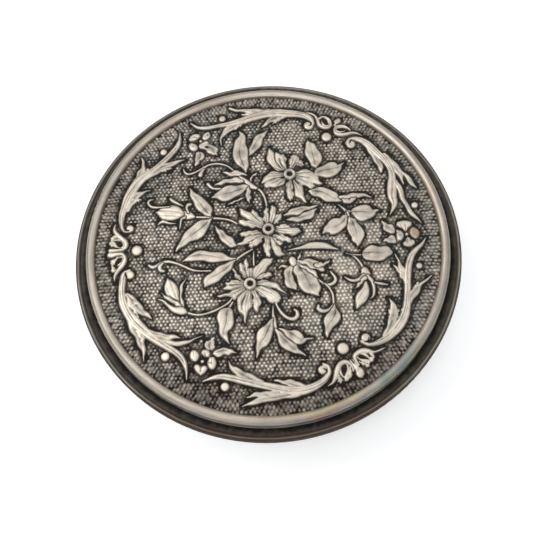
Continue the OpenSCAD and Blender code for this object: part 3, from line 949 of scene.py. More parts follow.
LOWER_FLOWER = [
    ("petal", 0.4, [(-3.3, -4.9, 0.15), (-4, -4.2, 0.28), (-4.45, -3.1, 0.1)]),
    ("petal", 0.42, [(-2.9, -4.4, 0.25), (-3.3, -3.4, 0.42), (-3.45, -2.3, 0.08)]),
    ("petal", 0.42, [(-2.5, -4.3, 0.2), (-2.75, -2.9, 0.3), (-2.8, -1.65, 0.08)]),
    ("petal", 0.38, [(-2.2, -4.3, 0.2), (-2.25, -3.7, 0.3), (-2.2, -3.15, 0.12)]),
    ("petal", 0.44, [(-1.8, -4.5, 0.3), (-1.1, -3.5, 0.7), (-0.3, -2.75, 0.6), (0.3, -2.35, 0.26),
                     (0.9, -2.1, 0.06)]),
    ("petal", 0.4, [(-1.4, -4.7, 0.2), (-0.5, -4.4, 0.4), (0.2, -4.3, 0.32)]),
    ("petal", 0.38, [(-1.2, -5.35, 0.3), (-0.2, -5.5, 0.5), (0.6, -5.75, 0.42), (1.2, -6.2, 0.2),
                     (1.9, -6.8, 0.12), (2.5, -7.4, 0.08)]),
    ("petal", 0.42, [(-3.3, -5.2, 0.3), (-4.3, -5.15, 0.38), (-5.3, -5.25, 0.22)]),
    ("petal", 0.4, [(-3.3, -5.6, 0.3), (-4.7, -5.75, 0.36), (-6, -5.85, 0.1)]),
    ("petal", 0.42, [(-3.2, -6, 0.3), (-4.3, -6.5, 0.44), (-5.4, -6.75, 0.27), (-6.75, -6.85, 0.08)]),
    ("petal", 0.4, [(-3.4, -6.2, 0.2), (-4.2, -6.9, 0.42), (-4.5, -7.2, 0.2)]),
    ("petal", 0.44, [(-2.6, -6.3, 0.35), (-3.05, -7.4, 0.95), (-3.2, -8.6, 0.68), (-3.15, -9.6, 0.3),
                     (-3.07, -10.7, 0.06)]),
    ("petal", 0.42, [(-1.9, -6.5, 0.3), (-1.6, -7.6, 0.5), (-1.65, -8.6, 0.42), (-1.7, -9.05, 0.2)]),
    ("petal", 0.44, [(-1.5, -6, 0.35), (-0.4, -6.7, 0.72), (0.4, -7.2, 0.82), (0.9, -7.8, 0.42)]),
    ("slot", 0.6, [(-2.1, -8.9, 0.04), (-2.2, -7.9, 0.05), (-2.15, -6.7, 0.04)]),
    ("slot", 0.5, [(-3.5, -8.8, 0.04), (-3.4, -7.8, 0.08), (-2.9, -6.9, 0.04)]),
    ("slot", 0.6, [(-4, -7.0, 0.04), (-3.6, -6.7, 0.05), (-3.2, -6.25, 0.04)]),
    ("slot", 0.5, [(-5.2, -6.2, 0.03), (-4.4, -6.1, 0.05), (-3.4, -5.75, 0.04)]),
    ("slot", 0.5, [(-4.9, -5.45, 0.03), (-4.2, -5.45, 0.04), (-3.4, -5.4, 0.03)]),
    ("slot", 0.6, [(-1, -7.2, 0.05), (-1.35, -6.8, 0.06), (-1.65, -6.3, 0.04)]),
    ("slot", 0.55, [(0.9, -6.5, 0.04), (0, -6.15, 0.05), (-0.9, -5.75, 0.04)]),
    ("slot", 0.5, [(0.1, -4.65, 0.03), (-0.6, -4.75, 0.05), (-1.2, -5.0, 0.04)]),
    ("slot", 0.5, [(-0.2, -3.9, 0.03), (-0.8, -4.1, 0.05), (-1.5, -4.6, 0.04)]),
]
UPPER_FLOWER = [
    ("petal", 0.44, [(2.7, 10.6, 0.2), (1.7, 11.3, 0.56), (1.15, 12.2, 0.64), (1, 13.1, 0.42),
                     (0.95, 14.25, 0.06)]),
    ("petal", 0.42, [(2.75, 10.7, 0.2), (2.1, 11.7, 0.44), (1.95, 12.7, 0.4), (1.85, 13.45, 0.15)]),
    ("petal", 0.42, [(2.85, 10.7, 0.2), (2.7, 11.6, 0.4), (2.65, 12.5, 0.42), (2.62, 12.85, 0.3)]),
    ("slot", 0.8, [(1.5, 13.0, 0.03), (1.65, 11.9, 0.06), (2.3, 10.95, 0.05)]),
    ("slot", 0.6, [(2.2, 12.3, 0.03), (2.3, 11.5, 0.04), (2.6, 10.9, 0.03)]),
    ("petal", 0.44, [(3.9, 11.2, 0.46), (4.15, 11.8, 0.75), (4.2, 12.15, 0.62)]),
    ("petal", 0.42, [(4.4, 11.4, 0.5), (4.85, 11.5, 0.45), (5.1, 11.2, 0.26)]),
    ("slot", 0.8, [(3.2, 12.8, 0.03), (3.28, 11.8, 0.06), (3.3, 10.9, 0.04)]),
    ("petal", 0.44, [(4.2, 9.9, 0.4), (5.3, 9.75, 0.76), (6.1, 9.25, 0.8), (6.9, 8.6, 0.5),
                     (7.75, 8.05, 0.06)]),
    ("petal", 0.42, [(4.4, 9.2, 0.3), (5.2, 8.6, 0.5), (6, 8.1, 0.46), (6.6, 7.75, 0.12)]),
    ("stem", 0.5, [(4.0, 10.75, 0.07), (4.08, 11.1, 0.1), (4.45, 11.32, 0.1), (4.9, 11.1, 0.1),
                   (5.1, 10.8, 0.05)]),
    ("slot", 1.0, [(4.25, 10.98, 0.12), (4.6, 10.9, 0.2), (5.0, 10.65, 0.1)]),
    ("petal", 0.42, [(3.9, 8.9, 0.2), (4.3, 8, 0.46), (4.55, 7, 0.64), (4.75, 6.4, 0.42),
                     (5.5, 5.4, 0.06)]),
    ("petal", 0.42, [(3.4, 9, 0.25), (3.3, 8, 0.46), (3.3, 7, 0.5), (3.4, 6.35, 0.36)]),
    ("slot", 0.8, [(3.92, 6.1, 0.05), (3.88, 7.2, 0.05), (3.85, 8.6, 0.04)]),
    ("petal", 0.42, [(2.6, 9.9, 0.3), (1.6, 9.9, 0.56), (0.8, 9.6, 0.56), (0.2, 9.2, 0.42),
                     (-0.45, 8.8, 0.08)]),
    ("petal", 0.42, [(2.7, 9.1, 0.25), (1.9, 8.8, 0.6), (1.2, 8.6, 0.6), (0.4, 8.5, 0.42),
                     (0.05, 8.35, 0.22)]),
    ("slot", 0.5, [(0.5, 9.0, 0.03), (1.4, 9.3, 0.05), (2.5, 9.6, 0.04)]),
]
print("middle flower:", len(MIDDLE_FLOWER), "lower flower:", len(LOWER_FLOWER),
      "upper flower:", len(UPPER_FLOWER))

# %% [markdown]
# ### The six leaf scrolls
#
# The border is made of long curved leaves. Each scroll has a long body and a few side leaves that
# grow out of it.

# %% The six leaf scrolls
SCROLLS = [
    # Lower left
    ("leaf", 0.4, [(-17.9, -6, 0.35), (-17.2, -7, 0.55), (-16.5, -7.9, 0.55), (-15.6, -8.6, 0.34),
                   (-14.7, -9.35, 0.06)]),
    ("leaf", 0.36, [(-16.9, -7, 0.3), (-15.7, -8, 0.06)]),
    ("leaf", 0.36, [(-17.2, -7.6, 0.3), (-16.4, -9.05, 0.1)]),
    ("leaf", 0.36, [(-16.4, -10.7, 0.3), (-16, -11.6, 0.36), (-15.65, -12.7, 0.1)]),
    ("leaf", 0.38, [(-17.5, -9.4, 0.4), (-16.7, -10.9, 0.5), (-16.1, -12.2, 0.42), (-15.7, -13.4, 0.24),
                    (-15.6, -14.7, 0.1)]),
    ("leaf", 0.38, [(-14.9, -11.5, 0.35), (-13.4, -12.2, 0.3), (-11.9, -12.65, 0.26), (-10.3, -12.65, 0.26),
                    (-9.4, -12.2, 0.13), (-8.4, -11.9, 0.05)]),
    ("leaf", 0.4, [(-15.8, -10.9, 0.35), (-14.4, -11.4, 0.4), (-12.9, -11.75, 0.36), (-12, -11.85, 0.24),
                   (-11.1, -12, 0.06)]),
    ("scroll", 0.44, [(-17.7, -2.75, 0.2), (-18.4, -3.2, 0.33), (-18.6, -4.3, 0.42), (-18.6, -5.6, 0.46),
                      (-18.35, -7, 0.56), (-17.75, -8.4, 0.58), (-16.9, -9.7, 0.62), (-15.6, -10.95, 0.5),
                      (-14, -12.2, 0.42), (-12.7, -13.15, 0.42), (-11.5, -14.1, 0.44), (-10.8, -15, 0.38),
                      (-10.4, -16.1, 0.22), (-10.35, -17.3, 0.08)]),
    ("ball", 0.46, [(-17.6, -3.35, 0.58)]),
    ("slot", 0.9, [(-18.15, -3.05, 0.05), (-18.15, -3.35, 0.09), (-18.0, -3.65, 0.06)]),
    # Upper left
    ("leaf", 0.36, [(-17.4, 7.2, 0.35), (-16.4, 7.35, 0.1)]),
    ("leaf", 0.4, [(-18.2, 6, 0.3), (-17.6, 7.1, 0.5), (-16.9, 8, 0.4), (-16, 8.45, 0.2),
                   (-15.1, 8.6, 0.05)]),
    ("leaf", 0.34, [(-16.4, 11, 0.35), (-15.6, 11.8, 0.24)]),
    ("leaf", 0.38, [(-17.1, 10.2, 0.45), (-16.5, 11.5, 0.4), (-16.2, 12.6, 0.28), (-16.5, 13.7, 0.08)]),
    ("leaf", 0.36, [(-13.6, 11.7, 0.4), (-12.4, 11.85, 0.1)]),
    ("leaf", 0.4, [(-16, 10.6, 0.4), (-14.5, 11.6, 0.5), (-13.2, 12.2, 0.42), (-12, 12.65, 0.28),
                   (-10.45, 13.05, 0.05)]),
    ("scroll", 0.44, [(-17.7, 2.7, 0.12), (-18.5, 2.85, 0.22), (-18.9, 3.9, 0.34), (-18.9, 5.2, 0.44),
                      (-18.6, 6.4, 0.5), (-18.2, 7.6, 0.56), (-17.5, 8.9, 0.58), (-16.6, 10.2, 0.6),
                      (-15.2, 11.5, 0.48), (-13.9, 12.6, 0.42), (-12.7, 13.7, 0.38), (-11.7, 15, 0.32),
                      (-11.35, 16.1, 0.22), (-11.3, 17.3, 0.06)]),
    ("ball", 0.46, [(-17.8, 3.15, 0.56)]),
    ("slot", 0.9, [(-18.35, 3.35, 0.06), (-18.25, 2.95, 0.09), (-17.9, 2.9, 0.06)]),
    # Top, running left
    ("leaf", 0.36, [(1, 20.05, 0.35), (-1, 20.2, 0.33), (-3, 20.4, 0.26), (-4.35, 20.8, 0.14)]),
    ("leaf", 0.36, [(-1, 19.8, 0.3), (-2.6, 19.65, 0.16)]),
    ("leaf", 0.36, [(2.4, 18.6, 0.3), (1.5, 17.9, 0.08)]),
    ("leaf", 0.38, [(3.2, 19.1, 0.4), (1.8, 18.85, 0.5), (0.9, 18.25, 0.33), (0, 17.4, 0.06)]),
    ("leaf", 0.36, [(-3, 18.2, 0.35), (-3.75, 17.25, 0.08)]),
    ("leaf", 0.38, [(-2.3, 18.7, 0.4), (-3.8, 17.95, 0.45), (-4.9, 17.15, 0.36), (-5.6, 16.2, 0.24),
                    (-5.6, 14.9, 0.06)]),
    ("scroll", 0.44, [(6.95, 17.6, 0.25), (6.7, 18.4, 0.4), (5.9, 19, 0.5), (4.8, 19.35, 0.56),
                      (3.4, 19.5, 0.6), (1.8, 19.6, 0.56), (0.3, 19.5, 0.52), (-1.2, 19.2, 0.5),
                      (-3, 18.65, 0.48), (-4.5, 18.25, 0.4), (-6, 18.05, 0.34), (-7.5, 17.9, 0.28),
                      (-8.8, 18.05, 0.2), (-9.8, 18.75, 0.07)]),
    ("ball", 0.46, [(6.4, 17.3, 0.68)]),
    ("slot", 0.9, [(6.2, 18.05, 0.06), (6.7, 17.75, 0.1), (6.75, 17.4, 0.1), (6.5, 17.25, 0.06)]),
    # Bottom, running left
    ("leaf", 0.38, [(3.2, -19.5, 0.4), (1, -19.8, 0.42), (-1, -20.1, 0.38), (-2.6, -20.45, 0.24),
                    (-3.75, -20.9, 0.1)]),
    ("leaf", 0.36, [(0.5, -19.4, 0.3), (-1.8, -19.5, 0.28), (-3.2, -19.8, 0.12)]),
    ("leaf", 0.38, [(3.8, -18.8, 0.25), (2.5, -18.5, 0.42), (1.3, -18.15, 0.3), (0.1, -17.9, 0.06)]),
    ("leaf", 0.38, [(-1.4, -18.2, 0.35), (-2.8, -17.4, 0.45), (-3.9, -16.8, 0.42), (-4.8, -16.2, 0.28),
                    (-5.3, -15.2, 0.06)]),
    ("scroll", 0.44, [(6.1, -16.25, 0.2), (6.65, -16.6, 0.3), (6.75, -17.4, 0.34), (6, -18.3, 0.42),
                      (4.7, -18.95, 0.48), (3.1, -19.25, 0.5), (1.5, -19.15, 0.42), (0, -18.8, 0.42),
                      (-1.5, -18.35, 0.46), (-3, -17.9, 0.46), (-4.5, -17.5, 0.42), (-6, -17.2, 0.34),
                      (-7.2, -17.25, 0.22), (-8.45, -17.6, 0.06)]),
    ("ball", 0.46, [(5.95, -16.9, 0.56)]),
    ("slot", 0.9, [(6.35, -17.35, 0.05), (6.45, -17.0, 0.08), (6.15, -16.8, 0.06)]),
    # Right, lower
    ("leaf", 0.38, [(16.5, -10, 0.4), (17.5, -8.4, 0.38), (18.3, -7.3, 0.42), (19.2, -6.5, 0.22),
                    (20.4, -5.6, 0.06)]),
    ("leaf", 0.34, [(18.1, -7.2, 0.25), (18.6, -6.35, 0.08)]),
    ("leaf", 0.34, [(14.8, -11, 0.3), (14.65, -9.8, 0.1)]),
    ("leaf", 0.34, [(15.4, -10.6, 0.3), (15.9, -9.75, 0.08)]),
    ("leaf", 0.4, [(13.6, -13.4, 0.3), (14.5, -12.3, 0.46), (15, -11.1, 0.55), (15.15, -10, 0.46),
                   (15.2, -9.1, 0.26), (14.7, -8.3, 0.05)]),
    ("leaf", 0.38, [(17.1, -6.4, 0.3), (16.9, -5.2, 0.34), (16.6, -3.9, 0.26), (16.15, -2.4, 0.06)]),
    ("leaf", 0.36, [(17, -6, 0.3), (16.4, -4.8, 0.24), (15.75, -3.85, 0.06)]),
    ("scroll", 0.44, [(11, -13.6, 0.28), (11.8, -14.05, 0.28), (13, -13.9, 0.38), (14.2, -13.3, 0.46),
                      (15.3, -12.3, 0.48), (16.2, -11, 0.48), (16.8, -9.6, 0.46), (17.1, -8.2, 0.42),
                      (17.3, -6.8, 0.46), (17.4, -5.4, 0.46), (17.6, -4.1, 0.42), (18.1, -2.9, 0.36),
                      (18.8, -2.1, 0.28), (19.7, -1.3, 0.18), (20.3, -0.4, 0.06)]),
    ("ball", 0.46, [(11.45, -13.2, 0.58)]),
    ("slot", 0.9, [(11.3, -13.75, 0.05), (11.75, -13.6, 0.09), (11.85, -13.25, 0.06)]),
    # Right, upper
    ("leaf", 0.36, [(16.2, 12, 0.3), (17.2, 10.4, 0.34), (17.9, 9.1, 0.3), (18.35, 7.5, 0.12)]),
    ("leaf", 0.38, [(16.6, 11.8, 0.25), (17.7, 10.1, 0.3), (18.7, 8.8, 0.26), (19.4, 7.6, 0.28),
                    (19.9, 6.8, 0.12)]),
    ("leaf", 0.4, [(13.7, 13.9, 0.3), (14.6, 12.6, 0.36), (15.2, 11.3, 0.44), (15.5, 10.3, 0.36),
                   (15.6, 9.5, 0.12)]),
    ("leaf", 0.4, [(17.3, 8, 0.35), (17.8, 6.4, 0.3), (18.1, 5, 0.34), (18.6, 3.7, 0.3), (19.3, 2.6, 0.2),
                   (20, 1.65, 0.06)]),
    ("scroll", 0.44, [(11.3, 14.2, 0.25), (11.9, 14.75, 0.28), (13, 14.6, 0.36), (14.2, 13.8, 0.42),
                      (15.2, 12.6, 0.46), (16.1, 11.3, 0.46), (16.7, 10, 0.46), (16.95, 8.6, 0.5),
                      (16.8, 7.2, 0.56), (16.6, 5.8, 0.5), (16.7, 4.5, 0.32), (16.05, 3, 0.06)]),
    ("ball", 0.46, [(11.9, 13.95, 0.64)]),
    ("slot", 0.9, [(12.4, 14.5, 0.05), (12.0, 14.55, 0.09), (11.75, 14.15, 0.06)]),
]
print("scrolls:", len(SCROLLS))

# %% [markdown]
# ### The three palmettes
#
# Three palmettes join the scrolls. They are alike but not the same, so there are three drawings. All
# are drawn at the left of the box, and the lower and the upper one are turned to their places.

# %% The three palmettes
PALMETTE_LEFT = [
    ("body", 0.3, [(-20.15, 1.2, 0.3), (-19.6, 1.2, 0.56), (-19.0, 1.12, 0.7), (-18.7, 1.0, 0.62)]),
    ("body", 0.3, [(-20.0, -1.3, 0.26), (-19.5, -1.4, 0.5), (-19.0, -1.4, 0.6), (-18.75, -1.2, 0.56)]),
    ("body", 0.3, [(-20.2, 0.1, 0.34), (-19.5, 0, 0.34), (-18.6, 0, 0.2)]),
    ("leaf", 0.34, [(-19.2, 0.5, 0.08), (-19.7, 0.85, 0.22), (-20.15, 1.12, 0.36), (-20.35, 1.2, 0.26)]),
    ("leaf", 0.34, [(-20.15, 1.7, 0.26), (-19.85, 2.1, 0.3), (-19.4, 2.2, 0.34)]),
    ("leaf", 0.34, [(-19.2, -0.75, 0.15), (-19.7, -1.2, 0.2), (-20.05, -1.35, 0.22)]),
    ("leaf", 0.34, [(-20.0, -1.6, 0.2), (-19.85, -2.25, 0.26), (-19.75, -2.7, 0.26), (-19.4, -2.6, 0.3)]),
    ("body", 0.44, [(-19.7, 3.95, 0.05), (-19.85, 3.1, 0.24), (-19.45, 2.4, 0.34), (-18.85, 1.8, 0.36),
                    (-18.35, 1.3, 0.36), (-18.25, 0.75, 0.34), (-18.5, 0.33, 0.22), (-19.3, 0.22, 0.18),
                    (-20.0, 0.2, 0.27), (-20.35, 0.2, 0.26)]),
    ("body", 0.44, [(-19.55, -4.2, 0.05), (-19.55, -3.4, 0.22), (-19.2, -2.75, 0.3), (-18.75, -2.1, 0.35),
                    (-18.4, -1.5, 0.36), (-18.35, -0.9, 0.28), (-18.7, -0.42, 0.26), (-19.3, -0.36, 0.28),
                    (-19.9, -0.46, 0.38), (-20.3, -0.45, 0.4)]),
    ("slot", 1.0, [(-19.85, 1.55, 0.03), (-19.45, 1.35, 0.22), (-19.12, 1.05, 0.36), (-18.95, 0.85, 0.28)]),
    ("slot", 1.0, [(-19.62, -1.98, 0.06), (-19.33, -1.6, 0.24), (-19.03, -1.2, 0.3), (-18.85, -1.0, 0.16)]),
    ("slot", 1.0, [(-17.95, -0.02, 0.14), (-18.5, -0.03, 0.1), (-19.3, -0.06, 0.06), (-20.2, -0.1, 0.03)]),
    ("slot", 0.9, [(-20.6, 0.66, 0.08), (-20.1, 0.6, 0.06), (-19.5, 0.5, 0.05), (-18.9, 0.42, 0.03)]),
    ("slot", 0.9, [(-20.55, -0.95, 0.08), (-20, -0.88, 0.05), (-19.4, -0.72, 0.04)]),
    ("slot", 0.7, [(-20.25, 2.45, 0.05), (-19.8, 2.42, 0.03)]),
]
PALMETTE_LOW = [
    ("body", 0.3, [(-20.0, 1.6, 0.4), (-19.4, 1.4, 0.7), (-18.8, 1.2, 0.6)]),
    ("body", 0.3, [(-19.95, -1.6, 0.3), (-19.4, -1.5, 0.55), (-18.85, -1.3, 0.56)]),
    ("body", 0.3, [(-20.0, 0, 0.36), (-19.4, 0, 0.3), (-18.6, 0, 0.2)]),
    ("leaf", 0.34, [(-20.15, 2.55, 0.26), (-19.8, 2.5, 0.34), (-19.4, 2.5, 0.3)]),
    ("leaf", 0.34, [(-20.2, 1.85, 0.26), (-20.15, 1.3, 0.34), (-19.8, 0.9, 0.24), (-19.3, 0.55, 0.15)]),
    ("leaf", 0.38, [(-19.3, 0, 0.14), (-20, 0, 0.34), (-20.4, 0, 0.55), (-20.6, 0, 0.48)]),
    ("leaf", 0.34, [(-20.3, -1.25, 0.22), (-19.9, -1.0, 0.22), (-19.4, -0.7, 0.15)]),
    ("leaf", 0.34, [(-20.1, -1.6, 0.22), (-19.95, -2.1, 0.26), (-19.7, -2.5, 0.24), (-19.3, -2.5, 0.3)]),
    ("body", 0.44, [(-19.75, 4.2, 0.05), (-19.7, 3.4, 0.2), (-19.3, 2.7, 0.34), (-18.8, 2.15, 0.38),
                    (-18.38, 1.5, 0.36), (-18.4, 0.85, 0.34), (-18.8, 0.42, 0.24), (-19.4, 0.38, 0.18),
                    (-19.9, 0.55, 0.12)]),
    ("body", 0.44, [(-19.7, -4.4, 0.05), (-19.6, -3.6, 0.15), (-19.4, -2.9, 0.18), (-18.9, -2.35, 0.32),
                    (-18.5, -1.85, 0.36), (-18.38, -1.2, 0.34), (-18.5, -0.62, 0.3), (-19, -0.42, 0.25),
                    (-19.6, -0.4, 0.2)]),
    ("slot", 1.0, [(-19.8, 1.85, 0.05), (-19.4, 1.6, 0.26), (-19.05, 1.3, 0.34), (-18.85, 1.05, 0.2)]),
    ("slot", 1.0, [(-19.75, -1.82, 0.05), (-19.4, -1.6, 0.16), (-19.05, -1.3, 0.26), (-18.85, -1.1, 0.2)]),
    ("slot", 1.0, [(-17.95, 0.05, 0.14), (-18.5, -0.03, 0.09), (-19.2, -0.04, 0.05)]),
    ("slot", 0.7, [(-20.3, 0.85, 0.06), (-19.95, 0.75, 0.04), (-19.5, 0.6, 0.03)]),
    ("slot", 0.7, [(-20.4, -0.85, 0.06), (-19.9, -0.72, 0.04), (-19.4, -0.6, 0.03)]),
]
PALMETTE_TOP = [
    ("body", 0.3, [(-19.4, 1.7, 0.3), (-19.1, 1.3, 0.5), (-18.8, 0.95, 0.5)]),
    ("body", 0.3, [(-19.4, -1.4, 0.45), (-19.1, -1.2, 0.55), (-18.85, -1.1, 0.5)]),
    ("body", 0.4, [(-19.45, 2.35, 0.16), (-19.65, 1.6, 0.16), (-19.55, 1.0, 0.16), (-19.2, 0.5, 0.16),
                   (-18.8, 0.35, 0.14)]),
    ("leaf", 0.38, [(-19.2, 0.15, 0.12), (-19.7, 0.16, 0.3), (-20.0, 0.2, 0.46), (-20.15, 0.2, 0.4)]),
    ("body", 0.4, [(-19.0, -0.35, 0.22), (-19.6, -0.75, 0.18), (-19.85, -1.4, 0.14), (-19.7, -1.95, 0.16),
                   (-19.25, -2.2, 0.2)]),
    ("body", 0.44, [(-19.3, 4.3, 0.05), (-19.35, 3.5, 0.15), (-19.15, 2.8, 0.24), (-18.6, 2.15, 0.28),
                    (-18.2, 1.5, 0.3), (-18.1, 0.85, 0.27), (-18.5, 0.42, 0.18), (-19.1, 0.32, 0.12)]),
    ("body", 0.44, [(-19.3, -4.3, 0.05), (-19.45, -3.6, 0.17), (-19.35, -2.9, 0.2), (-18.9, -2.3, 0.26),
                    (-18.35, -1.8, 0.28), (-18.2, -1.15, 0.29), (-18.45, -0.5, 0.26), (-19, -0.33, 0.22)]),
    ("slot", 1.0, [(-19.4, 1.95, 0.05), (-19.2, 1.6, 0.2), (-18.95, 1.2, 0.28), (-18.8, 0.85, 0.2)]),
    ("slot", 1.0, [(-19.45, -1.65, 0.2), (-19.2, -1.35, 0.36), (-18.98, -1.0, 0.3)]),
    ("slot", 1.0, [(-17.95, 0.08, 0.12), (-18.5, 0.04, 0.08), (-19.2, -0.02, 0.04)]),
    ("slot", 0.7, [(-20.1, 0.75, 0.05), (-19.7, 0.6, 0.04), (-19.3, 0.42, 0.03)]),
]
print("palmette left:", len(PALMETTE_LEFT), "palmette low:", len(PALMETTE_LOW),
      "palmette top:", len(PALMETTE_TOP))

# %% [markdown]
# ### The three small border flowers
#
# Three small flowers, each with two leaves, sit between the scrolls. Their petals are flat pads.

# %% The small flowers and their leaves
SMALL_LEAVES = [
    ("leaf", 0.36, [(-8.75, 14.2, 0.05), (-8.6, 13.5, 0.5), (-8.85, 12.8, 0.36), (-9.15, 11.9, 0.05)]),
    ("leaf", 0.38, [(-7.8, 14.8, 0.3), (-7.2, 14.62, 0.62), (-6.7, 14.15, 0.5), (-6.2, 13.4, 0.06)]),
    ("leaf", 0.36, [(14.95, 2.25, 0.08), (15.4, 1.5, 0.42), (16, 1, 0.48), (16.7, 0.7, 0.2)]),
    ("leaf", 0.36, [(14.85, -0.5, 0.06), (15.6, -0.4, 0.4), (16.1, -0.4, 0.44), (16.6, -0.5, 0.3)]),
    ("leaf", 0.34, [(-7.2, -13.7, 0.1), (-7.5, -13.1, 0.5), (-7.05, -12.2, 0.1)]),
    ("leaf", 0.36, [(-7, -14.3, 0.12), (-6.4, -14.1, 0.46), (-5.5, -14, 0.38), (-4.2, -14.25, 0.05)]),
]
SMALL_FLOWERS = [
    ("pad", 0.42, [(17.1, 1.68, 0.36), (17.4, 1.62, 0.48), (17.72, 1.6, 0.54), (18.05, 1.62, 0.48),
                   (18.35, 1.66, 0.36)]),
    ("body", 0.36, [(17.82, 0.8, 0.16), (17.78, 1.25, 0.4)]),
    ("pad", 0.42, [(18.85, 0.8, 0.34), (18.95, 0.35, 0.58), (19.0, -0.08, 0.34)]),
    ("pad", 0.42, [(17.62, -1.1, 0.32), (18.05, -1.06, 0.46), (18.48, -0.95, 0.36)]),
    ("body", 0.36, [(18.02, -0.35, 0.2), (18.05, -0.75, 0.4)]),
    ("slot", 1.0, [(16.6, 1.0, 0.07), (16.42, 0.1, 0.08), (16.55, -0.65, 0.07)]),
    ("pad", 0.42, [(17.02, 0.55, 0.28), (17.04, 0.1, 0.46), (17.02, -0.36, 0.28)]),
    ("slot", 0.5, [(17.86, 0.7, 0.05), (17.87, 1.1, 0.04), (17.88, 1.6, 0.02)]),
    ("slot", 0.4, [(17.4, 1.05, 0.03), (17.28, 1.5, 0.02)]),
    ("slot", 0.45, [(17.92, -0.45, 0.05), (17.88, -0.95, 0.02)]),
    ("slot", 0.4, [(18.3, -0.5, 0.04), (18.42, -0.9, 0.02)]),
    ("slot", 0.3, [(17.3, 0.15, 0.04), (16.95, 0.12, 0.02)]),
    ("pad", 0.42, [(-9.78, 16.15, 0.3), (-9.3, 16.46, 0.48), (-8.84, 16.62, 0.34)]),
    ("pad", 0.42, [(-7.82, 16.3, 0.38), (-7.6, 16.58, 0.48), (-7.42, 16.92, 0.27)]),
    ("pad", 0.42, [(-9.68, 15.15, 0.4), (-9.45, 14.9, 0.52), (-9.28, 14.76, 0.44)]),
    ("pad", 0.42, [(-8.3, 15.0, 0.4), (-7.98, 15.22, 0.42), (-7.62, 15.46, 0.3)]),
    ("slot", 0.9, [(-7.78, 14.84, 0.06), (-7.58, 14.78, 0.15), (-7.4, 14.7, 0.06)]),
    ("slot", 0.5, [(-8.9, 16.3, 0.05), (-9.2, 16.45, 0.06), (-9.4, 16.5, 0.02)]),
    ("slot", 0.5, [(-7.45, 16.6, 0.09), (-7.35, 16.85, 0.02)]),
    ("slot", 0.4, [(-9.1, 15.2, 0.05), (-9.5, 15.0, 0.02)]),
    ("pad", 0.42, [(-9.5, -14.05, 0.4), (-9.42, -14.4, 0.54), (-9.35, -14.7, 0.4)]),
    ("pad", 0.42, [(-8.25, -14.0, 0.34), (-7.97, -14.15, 0.42), (-7.8, -14.35, 0.28)]),
    ("pad", 0.42, [(-7.3, -15.02, 0.4), (-7.3, -15.4, 0.52), (-7.3, -15.75, 0.42)]),
    ("pad", 0.42, [(-9.15, -15.8, 0.34), (-8.9, -16.15, 0.4), (-8.68, -16.85, 0.06)]),
    ("body", 0.42, [(-8.25, -16.05, 0.38), (-8.5, -16.35, 0.36), (-8.66, -16.85, 0.06)]),
    ("slot", 0.5, [(-8.72, -15.6, 0.08), (-8.7, -15.95, 0.05), (-8.66, -16.4, 0.02)]),
    ("slot", 0.45, [(-8.15, -14.5, 0.06), (-8.1, -14.2, 0.02)]),
    ("slot", 0.45, [(-7.7, -15.35, 0.06), (-7.3, -15.4, 0.03)]),
]
print("small leaves:", len(SMALL_LEAVES), "small flowers:", len(SMALL_FLOWERS))

# %% [markdown]
# ## Laying the motifs on the sheet
#
# The scrolls go down first, then the posy, with the big flowers after its leaves, because their petals
# lie on top. Then come the palmettes, the pearls and the small flowers. The strokes of a scroll, a
# flower or a palmette join into one body of metal. In the posy each stroke lies over those before it.

# %% Raise the posy and the scrolls
LAYERED = ("stem", "leaf", "scroll", "fluted", "petal")
# Where each large flower has its eye, and how dark the lines round it are.
FLOWER_EYES = ((0.25, 2, 0.5), (3.4, 9.85, 0.8), (-2.35, -5.4, 0.65))


def lay(motifs, over_kinds, grow):
    """Lays motifs on the sheet. grow widens every stroke, and over_kinds lie over what is there."""
    for kind, peak, stations in motifs:
        if kind == "ball":
            stud(*stations[0], peak, groove=False)
        elif kind == "slot":
            engrave(stations, peak)
        else:
            stroke(kind, peak, stations, kind in over_kinds, grow)


lay(SCROLLS, (), grow=1.15)
lay(POSY, LAYERED, grow=1.12)
for petals in (MIDDLE_FLOWER, LOWER_FLOWER, UPPER_FLOWER):
    lay(petals, ("stem",), grow=1.08)
for x, y, lines in FLOWER_EYES:
    flower_eye(x, y, lines)
print("posy and scrolls up to", round(height.max(), 2), "mm")

# %% Raise the border's palmettes, pearls and small flowers
# Each palmette's drawing, how many degrees it is turned, and how far it is moved outward.
PALMETTES = ((PALMETTE_LEFT, 0, 0), (PALMETTE_TOP, -119.8, 0.6), (PALMETTE_LOW, 120.8, -0.15))
# Each pearl's place and radius.
LARGE_PEARLS = ((-16.8, 0, 0.74), (8.7, 15.3, 0.72), (8.6, -14.4, 0.76))
SMALL_PEARLS = ((-13.5, 14.4, 0.5), (-5.4, 19.2, 0.5), (19.4, 4.3, 0.46), (19, -4.2, 0.44),
                (-13, -14.3, 0.58), (-5.8, -18.4, 0.56))
SMALL_FLOWER_MIDDLES = ((17.9, 0.2), (-8.42, 15.75), (-8.45, -15.15))


def turned(stations, degrees, outward):
    """Stations on the left of the box, moved outward and then turned about the middle."""
    a = math.radians(degrees)
    c, s = math.cos(a), math.sin(a)
    return [((x - outward) * c - y * s, (x - outward) * s + y * c, w) for x, y, w in stations]


